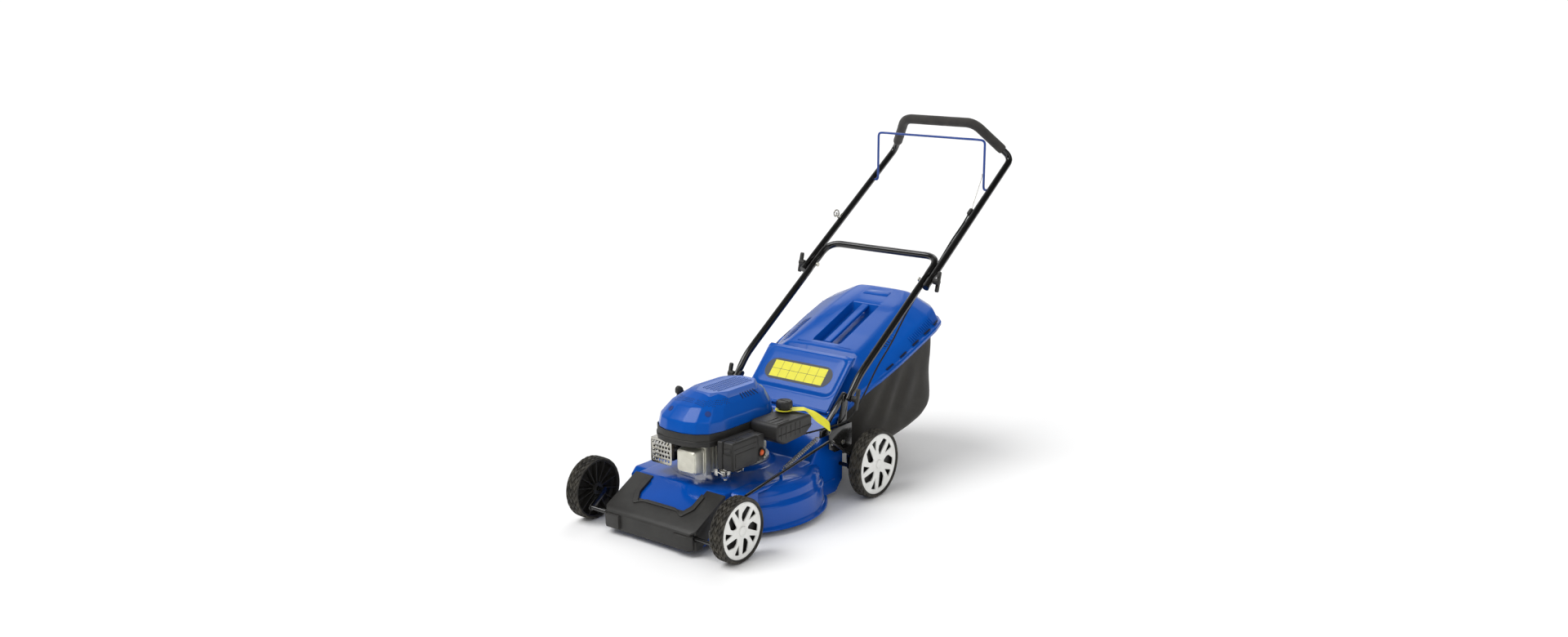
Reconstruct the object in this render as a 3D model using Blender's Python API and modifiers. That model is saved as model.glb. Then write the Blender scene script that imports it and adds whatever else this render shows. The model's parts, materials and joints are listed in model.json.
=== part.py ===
"""Petrol lawn mower with a rear grass bag, modelled in metres, +Z up.

Forward is -Y and the mower's left-hand side is +X. Every size is measured from the middle of the
wheelbase at ground level, and one empty carries the whole model from there to its origin, which lies
on the ground under the middle of the machine.
"""

import math

import bmesh
import bpy
from mathutils import Matrix, Vector

# Place of the middle of the wheelbase, seen from the origin
WHEELBASE_MID_Y = -0.3724

# Clearances
GAP = 0.0004
RUNNING_GAP = 0.0006

# The deck's radius sets the length and the width of the machine
DECK_RADIUS = 0.266

# Wheels
WHEELBASE = 2 * DECK_RADIUS + 0.099
TRACK_OUTER = 2 * DECK_RADIUS + 0.043
FRONT_WHEEL_RADIUS = 0.0889
REAR_WHEEL_RADIUS = 0.1016
TYRE_WIDTH = 0.045
TYRE_HEIGHT = 0.0075
TYRE_SHOULDER = 0.006
TYRE_STEPS = 22
RIM_BAND = 0.003
HUB_RADIUS = 0.016
TRIM_THICKNESS = 0.003
TRIM_SPOKES = 5
AXLE_RADIUS = 0.006
TYRE_INNER_X = TRACK_OUTER / 2 - TYRE_WIDTH
FRONT_AXLE_Y = -WHEELBASE / 2
REAR_AXLE_Y = WHEELBASE / 2

# Height adjuster: both cranks turn alike, so the link rod keeps its direction
FRONT_CRANK = Vector((0, FRONT_AXLE_Y - 0.0495, FRONT_WHEEL_RADIUS - 0.0362))
REAR_CRANK = Vector((0, REAR_AXLE_Y - 0.0642, REAR_WHEEL_RADIUS))
CRANK_ARM_X = TYRE_INNER_X - 0.0203
CRANK_ARM_THICKNESS = 0.0035
CRANK_ARM_WIDTH = 0.020
LINK_ARM = Vector((0, -0.0035, 0.0350))
LINK_BEND_FRONT = Vector((0, FRONT_CRANK.y + 0.1300, 0.1500))
LINK_BEND_REAR = Vector((0, REAR_CRANK.y - 0.1063, 0.2060))
LINK_X = CRANK_ARM_X + 0.0068
LINK_THICKNESS = 0.0070
LINK_PIN_RADIUS = 0.0040
LEVER_THICKNESS = 0.004
LEVER_WIDTH = 0.016
LEVER_LENGTH = 0.150
QUADRANT_THICKNESS = 0.0022
LEVER_LEAN_DEG = 25.0
LEVER_JOG_HEIGHT = 0.088
LEVER_OUTER_X = TYRE_INNER_X + 0.0065
LEVER_GRIP_WIDTH = 0.015

# Handle brackets: places across the machine
BRACKET_PLATE_X = CRANK_ARM_X - 0.0042
LOWER_TUBE_X = BRACKET_PLATE_X - 0.0060
BRACKET_UPRIGHT_X = LOWER_TUBE_X - 0.0129

# Deck
DECK_BOTTOM_Z = 0.016
DECK_TOP_Z = 0.143
DECK_WALL = 0.0022
DECK_STEPS = 36
DECK_LIP = 0.012
ENGINE_SEAT_Z = 0.152
ENGINE_SEAT_RADIUS = 0.100
SHAFT_HOLE_RADIUS = 0.030
CHUTE_HALF_WIDTH = BRACKET_PLATE_X - 0.030
NOSE_HALF_WIDTH = CHUTE_HALF_WIDTH - 0.030
NOSE_FRONT_Y = FRONT_CRANK.y + 0.022
FORECOURT_HALF_WIDTH = CHUTE_HALF_WIDTH + 0.016
FORECOURT_FRONT_Y = NOSE_FRONT_Y + 0.121
NOSE_REAR_Y = -0.060
CHUTE_FRONT_Y = 0.050
CHUTE_REAR_Y = DECK_RADIUS - 0.002
CHUTE_WALL_Y = CHUTE_REAR_Y - 0.024
CHUTE_TOP_Z = 0.248
CHUTE_FLOOR_Z = 0.118
LUG_X = NOSE_HALF_WIDTH - 0.0385
LUG_THICKNESS = 0.003

# Bumper
BUMPER_HALF_WIDTH = NOSE_HALF_WIDTH + 0.007
BUMPER_FRONT_Y = FRONT_CRANK.y - 0.014
BUMPER_REAR_Y = NOSE_FRONT_Y + 0.100
BUMPER_BAR_REAR_Y = NOSE_FRONT_Y + 0.025
BUMPER_FRONT_Z = 0.066
BUMPER_REAR_Z = 0.138
BUMPER_BOTTOM_Z = 0.018
BUMPER_ARM_WIDTH = 0.066
BUMPER_CORNER = 0.026
BUMPER_WALL = 0.0035

# Handle: both tubes lie on one slope in side view
TUBE_RADIUS = 0.011
TUBE_BEND_RADIUS = 0.045
LOOP_BEND_RADIUS = 0.028
LOOP_BEND_STEPS = 5
HANDLE_SLOPE = 0.67
UPPER_TUBE_X = LOWER_TUBE_X + 0.023
CROSSBAR_Z = 0.649
LOWER_PIVOT = Vector((0, CHUTE_REAR_Y - 0.002, 0.303))
LOWER_BEND_Y = LOWER_PIVOT.y + 0.038
UPPER_TUBE_END_Y = LOWER_PIVOT.y + 0.366
UPPER_PIVOT_Y = LOWER_PIVOT.y + 0.393
CROSSBAR_Y = LOWER_PIVOT.y + 0.480
HANDLE_TOP = Vector((UPPER_TUBE_X - 0.007, LOWER_PIVOT.y + 0.888, 0.921))
LOOP_CORNER = Vector((UPPER_TUBE_X - 0.101, LOWER_PIVOT.y + 0.801, 1.037))
GRIP_RADIUS = 0.0160
BAIL_PIVOT_Y = LOWER_PIVOT.y + 0.750
BAIL_RADIUS = 0.0038
BAIL_X = UPPER_TUBE_X - 0.029
BAIL_REACH = 0.1590
KNOB_REACH = 0.027
KNOB_LEAN_DEG = 75.0
CABLE_STOP_Y = LOWER_PIVOT.y + 0.658
ROPE_GUIDE_Y = LOWER_PIVOT.y + 0.568
GUIDE_WIRE_RADIUS = 0.0028

# Handle brackets on the deck
BRACKET_THICKNESS = 0.003
BRACKET_REAR_Y = CHUTE_REAR_Y + 0.002
BRACKET_FRONT_Y = BRACKET_REAR_Y - 0.111
BRACKET_LOW_Z = 0.160
BRACKET_HIGH_Z = 0.231

# Engine
CRANKSHAFT_RADIUS = 0.0125
CRANKSHAFT_TOP_Z = 0.298
BLADE_HALF_LENGTH = DECK_RADIUS - 0.028
BLADE_Z = 0.040
BLADE_THICKNESS = 0.003
BLADE_WIDTH = 0.050
CRANKCASE_RADIUS = 0.074
CRANKCASE_TOP_Z = 0.2560
GUARD_TOP_Z = 0.2445
GUARD_WALL = 0.0016
CYLINDER_X = 0.033
CYLINDER_HALF_WIDTH = 0.042
CYLINDER_FRONT_Y = -0.218
HOUSING_HALF_WIDTH = 0.108
HOUSING_REAR_RADIUS = HOUSING_HALF_WIDTH
HOUSING_FRONT_Y = -0.266
HOUSING_TOP_Z = 0.2920
HOUSING_WALL = 0.003
COWL_TOP_Z = 0.3840
COWL_CROWN = Vector((0.022, -0.050))
COWL_WALL = 0.0025
FLYWHEEL_RADIUS = 0.084

# Fuel tank and air cleaner
TANK_LOW = Vector((HOUSING_HALF_WIDTH + GAP, -0.070, 0.238))
TANK_HIGH = Vector((HOUSING_HALF_WIDTH + 0.100, 0.090, 0.300))
CAP_CENTRE = Vector((HOUSING_HALF_WIDTH + 0.028, 0.052, 0))
CAP_RADIUS = 0.0235
CAP_HEIGHT = 0.021
NECK_RADIUS = 0.0160
NECK_HEIGHT = 0.0105
TAG_THICKNESS = 0.0010
TAG_HEADING_DEG = 42.0
TAG_DROOP_DEG = 37.0
TAG_FLAT_LENGTH = 0.060
TAG_DROOP_LENGTH = 0.090
TAG_WIDTH = 0.036
AIR_BOX_INNER_X = HOUSING_HALF_WIDTH + 0.005
AIR_BOX_X = AIR_BOX_INNER_X + 0.020
AIR_BOX_OUTER_X = AIR_BOX_X + 0.037
AIR_BOX_FRONT_Y = -0.216
AIR_BOX_REAR_Y = -0.078
AIR_BOX_CHEEK = 0.028
AIR_BOX_LOW_Z = 0.196
AIR_BOX_HIGH_Z = 0.277

# Bag and flap
BAG_FRONT_Y = CHUTE_REAR_Y + GAP
BAG_WALL = 0.003
FLAP_HALF_WIDTH = CHUTE_HALF_WIDTH - 0.030
FLAP_HINGE = Vector((0, CHUTE_REAR_Y - 0.035, 0.2565))
FLAP_LENGTH = 0.192
FLAP_SLOPE_DEG = 42.5
FLAP_THICKNESS = 0.004

RECESS_FRONT_Y = CHUTE_REAR_Y + 0.176
RECESS_REAR_Y = CHUTE_REAR_Y + 0.386
RECESS_HALF_WIDTH = 0.052
RECESS_DEPTH = 0.034

# Starter rope, parked above its outlet
ROPE_OUTLET = Vector((-HOUSING_HALF_WIDTH - 0.026, -0.090, HOUSING_TOP_Z - 0.001))
ROPE_RADIUS = 0.0022
RECOIL_REST = Vector((ROPE_OUTLET.x - 0.010, -0.086, 0.3180))

# Brake cable, in spans between the points of its route
CABLE_RADIUS = 0.0026
BRAKE_WIRE_RADIUS = 0.0012
CABLE_STOP_LENGTH = 0.026
CABLE_SPAN_POINTS = 3
CABLE_SPLIT_UPPER = 3
CABLE_SPLIT_LOWER = 8
CABLE_LAST = 17
CLAMP_OUTER_X = 0.0800
CLAMP_Y = 0.0300

# Lift spring
SPRING_WIRE_RADIUS = 0.0017
SPRING_RADIUS = 0.0052
SPRING_CURLS = 20
CURL_POINTS = 8
SPRING_FRONT = Vector((CHUTE_HALF_WIDTH + 0.010, -0.040, 0.1600))
SPRING_REAR = Vector((CHUTE_HALF_WIDTH + 0.010, BRACKET_FRONT_Y - 0.017, 0.2150))
SPRING_END_GAP = 0.0009

X_AXIS = Vector((1, 0, 0))
Y_AXIS = Vector((0, 1, 0))
Z_AXIS = Vector((0, 0, 1))
FULL_TURN = 2 * math.pi

FINISHES = {
    "blue_paint": ("0A4DA6", 0.22, 0.0),
    "blue_plastic": ("1060B8", 0.38, 0.0),
    "black_plastic": ("1C1C1D", 0.55, 0.0),
    "black_paint": ("111112", 0.25, 0.0),
    "black_rubber": ("232322", 0.85, 0.0),
    "black_fabric": ("1E1E1F", 0.95, 0.0),
    "black_foam": ("252525", 0.90, 0.0),
    "white_plastic": ("DADBD8", 0.40, 0.0),
    "cast_aluminium": ("A7A59B", 0.50, 1.0),
    "bright_steel": ("B9BBBD", 0.30, 1.0),
    "dark_steel": ("55565A", 0.40, 1.0),
    "yellow_card": ("F0E52A", 0.50, 0.0),
    "orange_rubber": ("F0561A", 0.50, 0.0),
}

# How the local axes of a flat outline lie when its plate faces X, Y or Z
FACING = {
    "X": Matrix(((0, 0, 1), (1, 0, 0), (0, 1, 0))),
    "Y": Matrix(((1, 0, 0), (0, 0, -1), (0, 1, 0))),
    "Z": Matrix.Identity(3),
}


def handle_z(y):
    return CROSSBAR_Z + HANDLE_SLOPE * (y - CROSSBAR_Y)


HANDLE_DIRECTION = Vector((0, 1, HANDLE_SLOPE)).normalized()
UPPER_PIVOT = Vector((0, UPPER_PIVOT_Y, handle_z(UPPER_PIVOT_Y)))
BAIL_PIVOT = Vector((0, BAIL_PIVOT_Y, handle_z(BAIL_PIVOT_Y)))
FRONT_AXLE = Vector((0, FRONT_AXLE_Y, FRONT_WHEEL_RADIUS))
REAR_AXLE = Vector((0, REAR_AXLE_Y, REAR_WHEEL_RADIUS))
BUMPER_SLOPE = (BUMPER_REAR_Z - BUMPER_FRONT_Z) / (BUMPER_REAR_Y - BUMPER_FRONT_Y)


def bumper_top(y):
    return BUMPER_FRONT_Z + BUMPER_SLOPE * (y - BUMPER_FRONT_Y)


def nose_top(y):
    """The deck's nose lies just under the bumper's skin."""
    return bumper_top(y) - BUMPER_WALL * math.hypot(1, BUMPER_SLOPE) - GAP


def pull_direction():
    """From the parked starter grip towards the rope guide on the handle."""
    target = Vector((-UPPER_TUBE_X, ROPE_GUIDE_Y, handle_z(ROPE_GUIDE_Y) + 0.020))
    return (target - RECOIL_REST).normalized()


def clear_scene():
    for thing in list(bpy.data.objects):
        bpy.data.objects.remove(thing, do_unlink=True)


def new_collection(name, hidden=False):
    group = bpy.data.collections.new(name)
    bpy.context.scene.collection.children.link(group)
    group.hide_render = hidden
    return group


def linear(channel):
    """One sRGB channel from 0 to 255 as a linear value."""
    value = channel / 255
    return value / 12.92 if value <= 0.04045 else ((value + 0.055) / 1.055) ** 2.4


def finish(name):
    """The Principled material of this name, made when it is first asked for."""
    found = bpy.data.materials.get(name)
    if found:
        return found
    colour, roughness, metallic = FINISHES[name]
    rgb = [linear(int(colour[i : i + 2], 16)) for i in (0, 2, 4)]
    material = bpy.data.materials.new(name)
    material.use_nodes = True
    shader = material.node_tree.nodes["Principled BSDF"]
    shader.inputs["Base Color"].default_value = (*rgb, 1)
    shader.inputs["Roughness"].default_value = roughness
    shader.inputs["Metallic"].default_value = metallic
    material.diffuse_color = (*rgb, 1)
    return material


clear_scene()
PARTS = new_collection("lawn_mower")
CUTTERS = new_collection("cutters", hidden=True)
PLACEMENT = bpy.data.objects.new("placement", None)
PARTS.objects.link(PLACEMENT)
PLACEMENT.location = (0, WHEELBASE_MID_Y, 0)


def body(name, pivot):
    """An empty on a joint's axis, which carries the pieces that move about it."""
    empty = bpy.data.objects.new(name + "_axis", None)
    PARTS.objects.link(empty)
    empty.parent = PLACEMENT
    empty.location = pivot
    return empty


def add(name, data, location=(0, 0, 0), rotation=None):
    shape = bpy.data.objects.new(name, data)
    PARTS.objects.link(shape)
    shape.parent = PLACEMENT
    shape.location = location
    if rotation:
        shape.rotation_euler = rotation.to_euler()
    return shape


def hold(shape, finish_name, carrier=None, smooth_deg=35.0):
    """Gives a finished shape its material and shading and hangs it on its body, where it stands."""
    shape.data.materials.clear()
    shape.data.materials.append(finish(finish_name))
    if shape.type == "MESH":
        shape.data.shade_smooth()
        shape.data.set_sharp_from_angle(angle=math.radians(smooth_deg))
    if carrier:
        shape.parent = carrier
        shape.matrix_parent_inverse = Matrix.Translation(-carrier.location)
    return shape


def mesh_of(name, build):
    mesh = bpy.data.meshes.new(name)
    work = bmesh.new()
    build(work)
    work.to_mesh(mesh)
    work.free()
    return mesh


def round_edges(shape, width, segments=1):
    edge = shape.modifiers.new("round", "BEVEL")
    edge.width = width
    edge.segments = segments
    edge.limit_method = "ANGLE"
    edge.angle_limit = math.radians(40)
    return shape


def box(name, low, high, rounding=0.0):
    """A box between two opposite corners, given in any order."""
    low, high = Vector(low), Vector(high)
    size = Vector(abs(b - a) for a, b in zip(low, high))
    scaled = Matrix.Diagonal((*size, 1))
    mesh = mesh_of(name, lambda work: bmesh.ops.create_cube(work, size=1, matrix=scaled))
    shape = add(name, mesh, (low + high) / 2)
    return round_edges(shape, rounding) if rounding else shape


def cylinder(name, start, end, radius, sides=16, end_radius=None):
    """A cylinder or cone between the centres of its two ends."""
    start, end = Vector(start), Vector(end)
    along = end - start

    def build(work):
        bmesh.ops.create_cone(
            work,
            cap_ends=True,
            segments=sides,
            radius1=radius,
            radius2=radius if end_radius is None else end_radius,
            depth=along.length,
        )

    return add(name, mesh_of(name, build), (start + end) / 2, along.to_track_quat("Z", "Y"))


def turned(name, profile, centre, direction=Z_AXIS, steps=24, closed=False):
    """A profile of (radius, height) pairs, from the top down its outer side, turned about a direction."""
    mesh = bpy.data.meshes.new(name)
    links = [(i, i + 1) for i in range(len(profile) - 1)]
    if closed:
        links.append((len(profile) - 1, 0))
    mesh.from_pydata([(radius, 0, height) for radius, height in profile], links, [])
    shape = add(name, mesh, centre, Vector(direction).to_track_quat("Z", "Y"))
    turn = shape.modifiers.new("turn", "SCREW")
    turn.steps = steps
    turn.render_steps = steps
    turn.use_merge_vertices = True
    turn.merge_threshold = 0.00001
    return shape


def plate(name, outlines, thickness, facing, at):
    """A flat plate from an outline and its holes, square to X, Y or Z, about a middle plane there."""
    curve = bpy.data.curves.new(name, "CURVE")
    curve.dimensions = "2D"
    curve.fill_mode = "BOTH"
    curve.extrude = thickness / 2
    for outline in outlines:
        spline = curve.splines.new("POLY")
        spline.points.add(len(outline) - 1)
        for point, (u, v) in zip(spline.points, outline):
            point.co = (u, v, 0, 1)
        spline.use_cyclic_u = True
    normal = {"X": X_AXIS, "Y": Y_AXIS, "Z": Z_AXIS}[facing]
    return as_mesh(add(name, curve, normal * at, FACING[facing]))


def tube(name, points, radius, resolution=2, closed=False):
    """A round tube through points, with filled ends."""
    curve = bpy.data.curves.new(name, "CURVE")
    curve.dimensions = "3D"
    curve.bevel_depth = radius
    curve.bevel_resolution = resolution
    curve.use_fill_caps = not closed
    spline = curve.splines.new("POLY")
    spline.points.add(len(points) - 1)
    for point, place in zip(spline.points, points):
        point.co = (*place, 1)
    spline.use_cyclic_u = closed
    return add(name, curve)


def as_mesh(shape):
    """The same shape as a mesh object with its caps welded on."""
    graph = bpy.context.evaluated_depsgraph_get()
    mesh = bpy.data.meshes.new_from_object(shape.evaluated_get(graph))
    work = bmesh.new()
    work.from_mesh(mesh)
    bmesh.ops.remove_doubles(work, verts=work.verts, dist=0.00001)
    bmesh.ops.recalc_face_normals(work, faces=work.faces)
    work.to_mesh(mesh)
    work.free()
    name = shape.name
    location, rotation = shape.location.copy(), shape.rotation_euler.to_quaternion()
    bpy.data.objects.remove(shape)
    return add(name, mesh, location, rotation)


def combine(shape, other, operation):
    step = shape.modifiers.new(operation.lower(), "BOOLEAN")
    step.operation = operation
    step.solver = "EXACT"
    step.object = other
    PARTS.objects.unlink(other)
    CUTTERS.objects.link(other)
    other.hide_render = True
    other.display_type = "WIRE"
    return shape


def join(shape, *others):
    for other in others:
        combine(shape, other, "UNION")
    return shape


def cut(shape, *others):
    for other in others:
        combine(shape, other, "DIFFERENCE")
    return shape


def arc(centre, radius, start_deg, end_deg, steps):
    """Points along an arc in a plane."""
    angles = [math.radians(start_deg + (end_deg - start_deg) * i / steps) for i in range(steps + 1)]
    return [(centre[0] + radius * math.cos(a), centre[1] + radius * math.sin(a)) for a in angles]


def circle(centre, radius, steps=16):
    return arc(centre, radius, 0, 360, steps)[:-1]


def strip(start, end, width, steps=5):
    """The outline of a flat strip with round ends at two centres."""
    heading = math.degrees(math.atan2(end[1] - start[1], end[0] - start[0]))
    return arc(end, width / 2, heading - 90, heading + 90, steps) + arc(
        start, width / 2, heading + 90, heading + 270, steps
    )


def bent(points, radius, steps=5):
    """A path with each of its inner corners rounded to a radius."""
    path = [Vector(points[0])]
    for before, corner, after in zip(points, points[1:], points[2:]):
        before, corner, after = Vector(before), Vector(corner), Vector(after)
        inward, outward = (before - corner).normalized(), (after - corner).normalized()
        half = inward.angle(outward) / 2
        longest = 0.48 * min((before - corner).length, (after - corner).length)
        reach = min(radius / math.tan(half), longest)
        real_radius = reach * math.tan(half)
        centre = corner + (inward + outward).normalized() * (real_radius / math.sin(half))
        first = corner + inward * reach - centre
        last = corner + outward * reach - centre
        sweep = first.angle(last)
        for i in range(steps + 1):
            share = i / steps
            path.append(
                centre
                + first * (math.sin((1 - share) * sweep) / math.sin(sweep))
                + last * (math.sin(share * sweep) / math.sin(sweep))
            )
    path.append(Vector(points[-1]))
    return path


def smooth_path(points, per_span=5):
    """A smooth curve through hand-placed points."""
    points = [Vector(p) for p in points]
    ends = [2 * points[0] - points[1], *points, 2 * points[-1] - points[-2]]
    path = []
    for a, b, c, d in zip(ends, ends[1:], ends[2:], ends[3:]):
        for i in range(per_span):
            t = i / per_span
            rise = (2 * a - 5 * b + 4 * c - d) * t**2 + (3 * b - a - 3 * c + d) * t**3
            path.append(0.5 * (2 * b + (c - a) * t + rise))
    return [*path, points[-1]]


def loft(name, rings):
    """A closed solid through rings of equally many points, with flat ends."""

    def build(work):
        rows = [[work.verts.new(point) for point in ring] for ring in rings]
        for row, following in zip(rows, rows[1:]):
            for i in range(len(row)):
                j = (i + 1) % len(row)
                work.faces.new((row[i], row[j], following[j], following[i]))
        work.faces.new(rows[0][::-1])
        work.faces.new(rows[-1])
        bmesh.ops.recalc_face_normals(work, faces=work.faces)

    return add(name, mesh_of(name, build))


def mirrored(points):
    """A half outline from the middle line out and back, completed on the other side of X = 0."""
    return [*points, *((-p[0], *p[1:]) for p in reversed(points) if abs(p[0]) > 1e-6)]


# Deck


def pan_profile():
    """The pan's outer side from its top to its lip: a round shoulder, a step and a flared foot."""
    shoulder = DECK_TOP_Z - 0.004
    wall = DECK_RADIUS - DECK_LIP
    return [
        (0, ENGINE_SEAT_Z),
        (ENGINE_SEAT_RADIUS, ENGINE_SEAT_Z),
        (ENGINE_SEAT_RADIUS + 0.014, DECK_TOP_Z),
        (wall - 0.056, shoulder),
        (wall - 0.026, shoulder - 0.008),
        (wall - 0.012, shoulder - 0.024),
        (wall - 0.010, DECK_BOTTOM_Z + 0.074),
        (wall, DECK_BOTTOM_Z + 0.064),
        (wall, DECK_BOTTOM_Z + 0.010),
        (DECK_RADIUS, DECK_BOTTOM_Z + 0.004),
        (DECK_RADIUS, DECK_BOTTOM_Z),
    ]


def pan():
    outer = [*pan_profile(), (0, DECK_BOTTOM_Z)]
    return turned("deck", outer, (0, 0, 0), steps=DECK_STEPS)


def pan_hollow():
    below = DECK_BOTTOM_Z - 0.02
    inner = [(max(radius - DECK_WALL, 0), height - DECK_WALL) for radius, height in pan_profile()[:-2]]
    skirt = DECK_RADIUS - DECK_LIP - DECK_WALL
    return turned("deck_hollow", [*inner, (skirt, below), (0, below)], (0, 0, 0), steps=DECK_STEPS)


def nose_outline(inset):
    front = NOSE_FRONT_Y + inset
    drop = inset * math.hypot(1, BUMPER_SLOPE)
    crest = BUMPER_REAR_Y + 0.012
    return [
        (front, DECK_BOTTOM_Z - 2 * inset),
        (front, nose_top(front) - drop),
        (crest, nose_top(crest) - drop),
        (NOSE_REAR_Y, DECK_TOP_Z - 0.004 - inset),
        (NOSE_REAR_Y, DECK_BOTTOM_Z - 2 * inset),
    ]


def forecourt_outline(inset):
    """The deck's broad shoulders between the front wheels and the pan."""
    front, rear = FORECOURT_FRONT_Y + inset, NOSE_REAR_Y + 0.02
    top = DECK_TOP_Z - 0.006 - inset
    return [
        (front, 0.062 - 2 * inset),
        (front, top - 0.016),
        (front + 0.016, top),
        (rear, top),
        (rear, 0.062 - 2 * inset),
    ]


def chute_outline():
    return [
        (CHUTE_FRONT_Y, DECK_BOTTOM_Z + 0.004),
        (CHUTE_FRONT_Y, DECK_TOP_Z - 0.004),
        (CHUTE_REAR_Y - 0.152, DECK_TOP_Z - 0.002),
        (CHUTE_REAR_Y - 0.064, CHUTE_TOP_Z - 0.004),
        (CHUTE_REAR_Y - 0.050, CHUTE_TOP_Z),
        (CHUTE_REAR_Y, CHUTE_TOP_Z),
        (CHUTE_REAR_Y, 0.052),
        (CHUTE_WALL_Y - 0.008, DECK_BOTTOM_Z + 0.004),
    ]


def chute_hollow_outline():
    rear = CHUTE_WALL_Y - DECK_WALL
    return [
        (CHUTE_FRONT_Y - 0.02, DECK_BOTTOM_Z - 0.03),
        (CHUTE_FRONT_Y - 0.02, DECK_TOP_Z - 0.004 - DECK_WALL),
        (CHUTE_REAR_Y - 0.1505, DECK_TOP_Z - 0.002 - DECK_WALL),
        (CHUTE_REAR_Y - 0.0625, CHUTE_TOP_Z - 0.004 - DECK_WALL),
        (rear, CHUTE_TOP_Z - 0.004 - DECK_WALL),
        (rear, DECK_BOTTOM_Z - 0.03),
    ]


def pivot_pin(name, centre, x_low, x_high, radius):
    """A cylinder across the machine through a centre, also used as the cutter of a hole."""
    return cylinder(name, (x_low, centre[1], centre[2]), (x_high, centre[1], centre[2]), radius, 12)


def through_pin(name, centre, reach, radius):
    """A pin or a hole's cutter that reaches as far to both sides."""
    return pivot_pin(name, centre, -reach, reach, radius)


def deck():
    """A pressed pan with a nose for the bumper and a chute with the tunnel to the bag."""
    inner = CHUTE_HALF_WIDTH - DECK_WALL
    forecourt_inner = FORECOURT_HALF_WIDTH - DECK_WALL
    floor_bottom = CHUTE_FLOOR_Z - DECK_WALL
    rear = CHUTE_REAR_Y + 0.02
    shell = pan()
    join(
        shell,
        plate("nose", [nose_outline(0)], 2 * NOSE_HALF_WIDTH, "X", 0),
        plate("forecourt", [forecourt_outline(0)], 2 * FORECOURT_HALF_WIDTH, "X", 0),
        plate("chute", [chute_outline()], 2 * CHUTE_HALF_WIDTH, "X", 0),
    )
    cut(
        shell,
        pan_hollow(),
        plate("nose_hollow", [nose_outline(DECK_WALL)], 2 * (NOSE_HALF_WIDTH - DECK_WALL), "X", 0),
        plate("forecourt_hollow", [forecourt_outline(DECK_WALL)], 2 * forecourt_inner, "X", 0),
        plate("chute_hollow", [chute_hollow_outline()], 2 * inner, "X", 0),
        box(
            "tunnel_mouth",
            (-inner, CHUTE_WALL_Y - 0.02, CHUTE_FLOOR_Z),
            (inner, rear, CHUTE_TOP_Z - 0.004 - DECK_WALL),
        ),
        box("axle_recess", (-inner, CHUTE_WALL_Y, 0), (inner, rear, floor_bottom)),
        cylinder("shaft_hole", (0, 0, 0.13), (0, 0, 0.17), SHAFT_HOLE_RADIUS, 20),
    )
    for side in (-1, 1):
        join(shell, front_lug(side), hinge_ear(side))
    x, y, z = SPRING_FRONT
    post_rear = y - SPRING_END_GAP
    post_low = (x - 0.005, post_rear - 0.003, DECK_TOP_Z - 0.009)
    post_high = (x + 0.005, post_rear, z + 0.005)
    join(shell, box("spring_post", post_low, post_high))
    cut(
        shell,
        through_pin("front_axle_hole", FRONT_CRANK, LUG_X + 0.030, AXLE_RADIUS + RUNNING_GAP),
        through_pin("rear_axle_hole", REAR_CRANK, CHUTE_HALF_WIDTH + 0.012, AXLE_RADIUS + RUNNING_GAP),
        through_pin("flap_pin_hole", FLAP_HINGE, FLAP_HALF_WIDTH + 0.032, 0.0026),
    )
    return hold(shell, "blue_paint")


def front_lug(side):
    outline = [
        (NOSE_FRONT_Y + 0.001, 0.036),
        (NOSE_FRONT_Y + 0.001, 0.070),
        (FRONT_CRANK.y - 0.0095, 0.0605),
        (FRONT_CRANK.y - 0.0095, 0.044),
    ]
    return plate("front_lug", [outline], LUG_THICKNESS, "X", side * LUG_X)


def hinge_ear(side):
    y, z = FLAP_HINGE.y, FLAP_HINGE.z
    base = CHUTE_TOP_Z - 0.001
    outline = [(y - 0.007, base), (y + 0.007, base), *arc((y, z), 0.0055, 0, 180, 6)]
    return plate("hinge_ear", [outline], 0.004, "X", side * (FLAP_HALF_WIDTH + 0.007))


def front_bumper():
    """A moulded skin: a sloping top over the nose, a front wall and two side walls."""
    rear, low = BUMPER_REAR_Y, BUMPER_BOTTOM_Z
    outer = [
        (BUMPER_FRONT_Y, low),
        (BUMPER_FRONT_Y, BUMPER_FRONT_Z - 0.004),
        (BUMPER_FRONT_Y + 0.004, bumper_top(BUMPER_FRONT_Y + 0.004)),
        (rear, BUMPER_REAR_Z),
        (rear, BUMPER_REAR_Z - 0.010),
        (rear - 0.03, low + 0.05),
        (NOSE_FRONT_Y - GAP, low),
    ]
    skin = plate("front_bumper", [outer], 2 * BUMPER_HALF_WIDTH, "X", 0)
    drop = BUMPER_WALL * math.hypot(1, BUMPER_SLOPE)
    inner_front = BUMPER_FRONT_Y + BUMPER_WALL
    hollow = [
        (inner_front, low - 0.02),
        (inner_front, bumper_top(inner_front) - drop),
        (rear + 0.02, bumper_top(rear + 0.02) - drop),
        (rear + 0.02, low - 0.02),
    ]
    between_arms = BUMPER_HALF_WIDTH - BUMPER_ARM_WIDTH
    corner = BUMPER_CORNER
    edge = BUMPER_HALF_WIDTH + 0.01
    cut(
        skin,
        plate("bumper_hollow", [hollow], 2 * (BUMPER_HALF_WIDTH - BUMPER_WALL), "X", 0),
        box("arm_space", (-between_arms, BUMPER_BAR_REAR_Y, 0), (between_arms, rear + 0.02, 0.2)),
    )
    for side in (-1, 1):
        front = BUMPER_FRONT_Y - 0.001
        chamfer = [
            (side * (edge - corner), front),
            (side * edge, front),
            (side * edge, front + corner),
        ]
        cut(skin, plate("bumper_chamfer", [chamfer], 0.4, "Z", 0.1))
        join(skin, corner_wall(side, drop))
    cut(skin, through_pin("axle_slot", FRONT_CRANK, BUMPER_HALF_WIDTH + 0.015, AXLE_RADIUS + 0.003))
    return hold(skin, "black_plastic")


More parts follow.
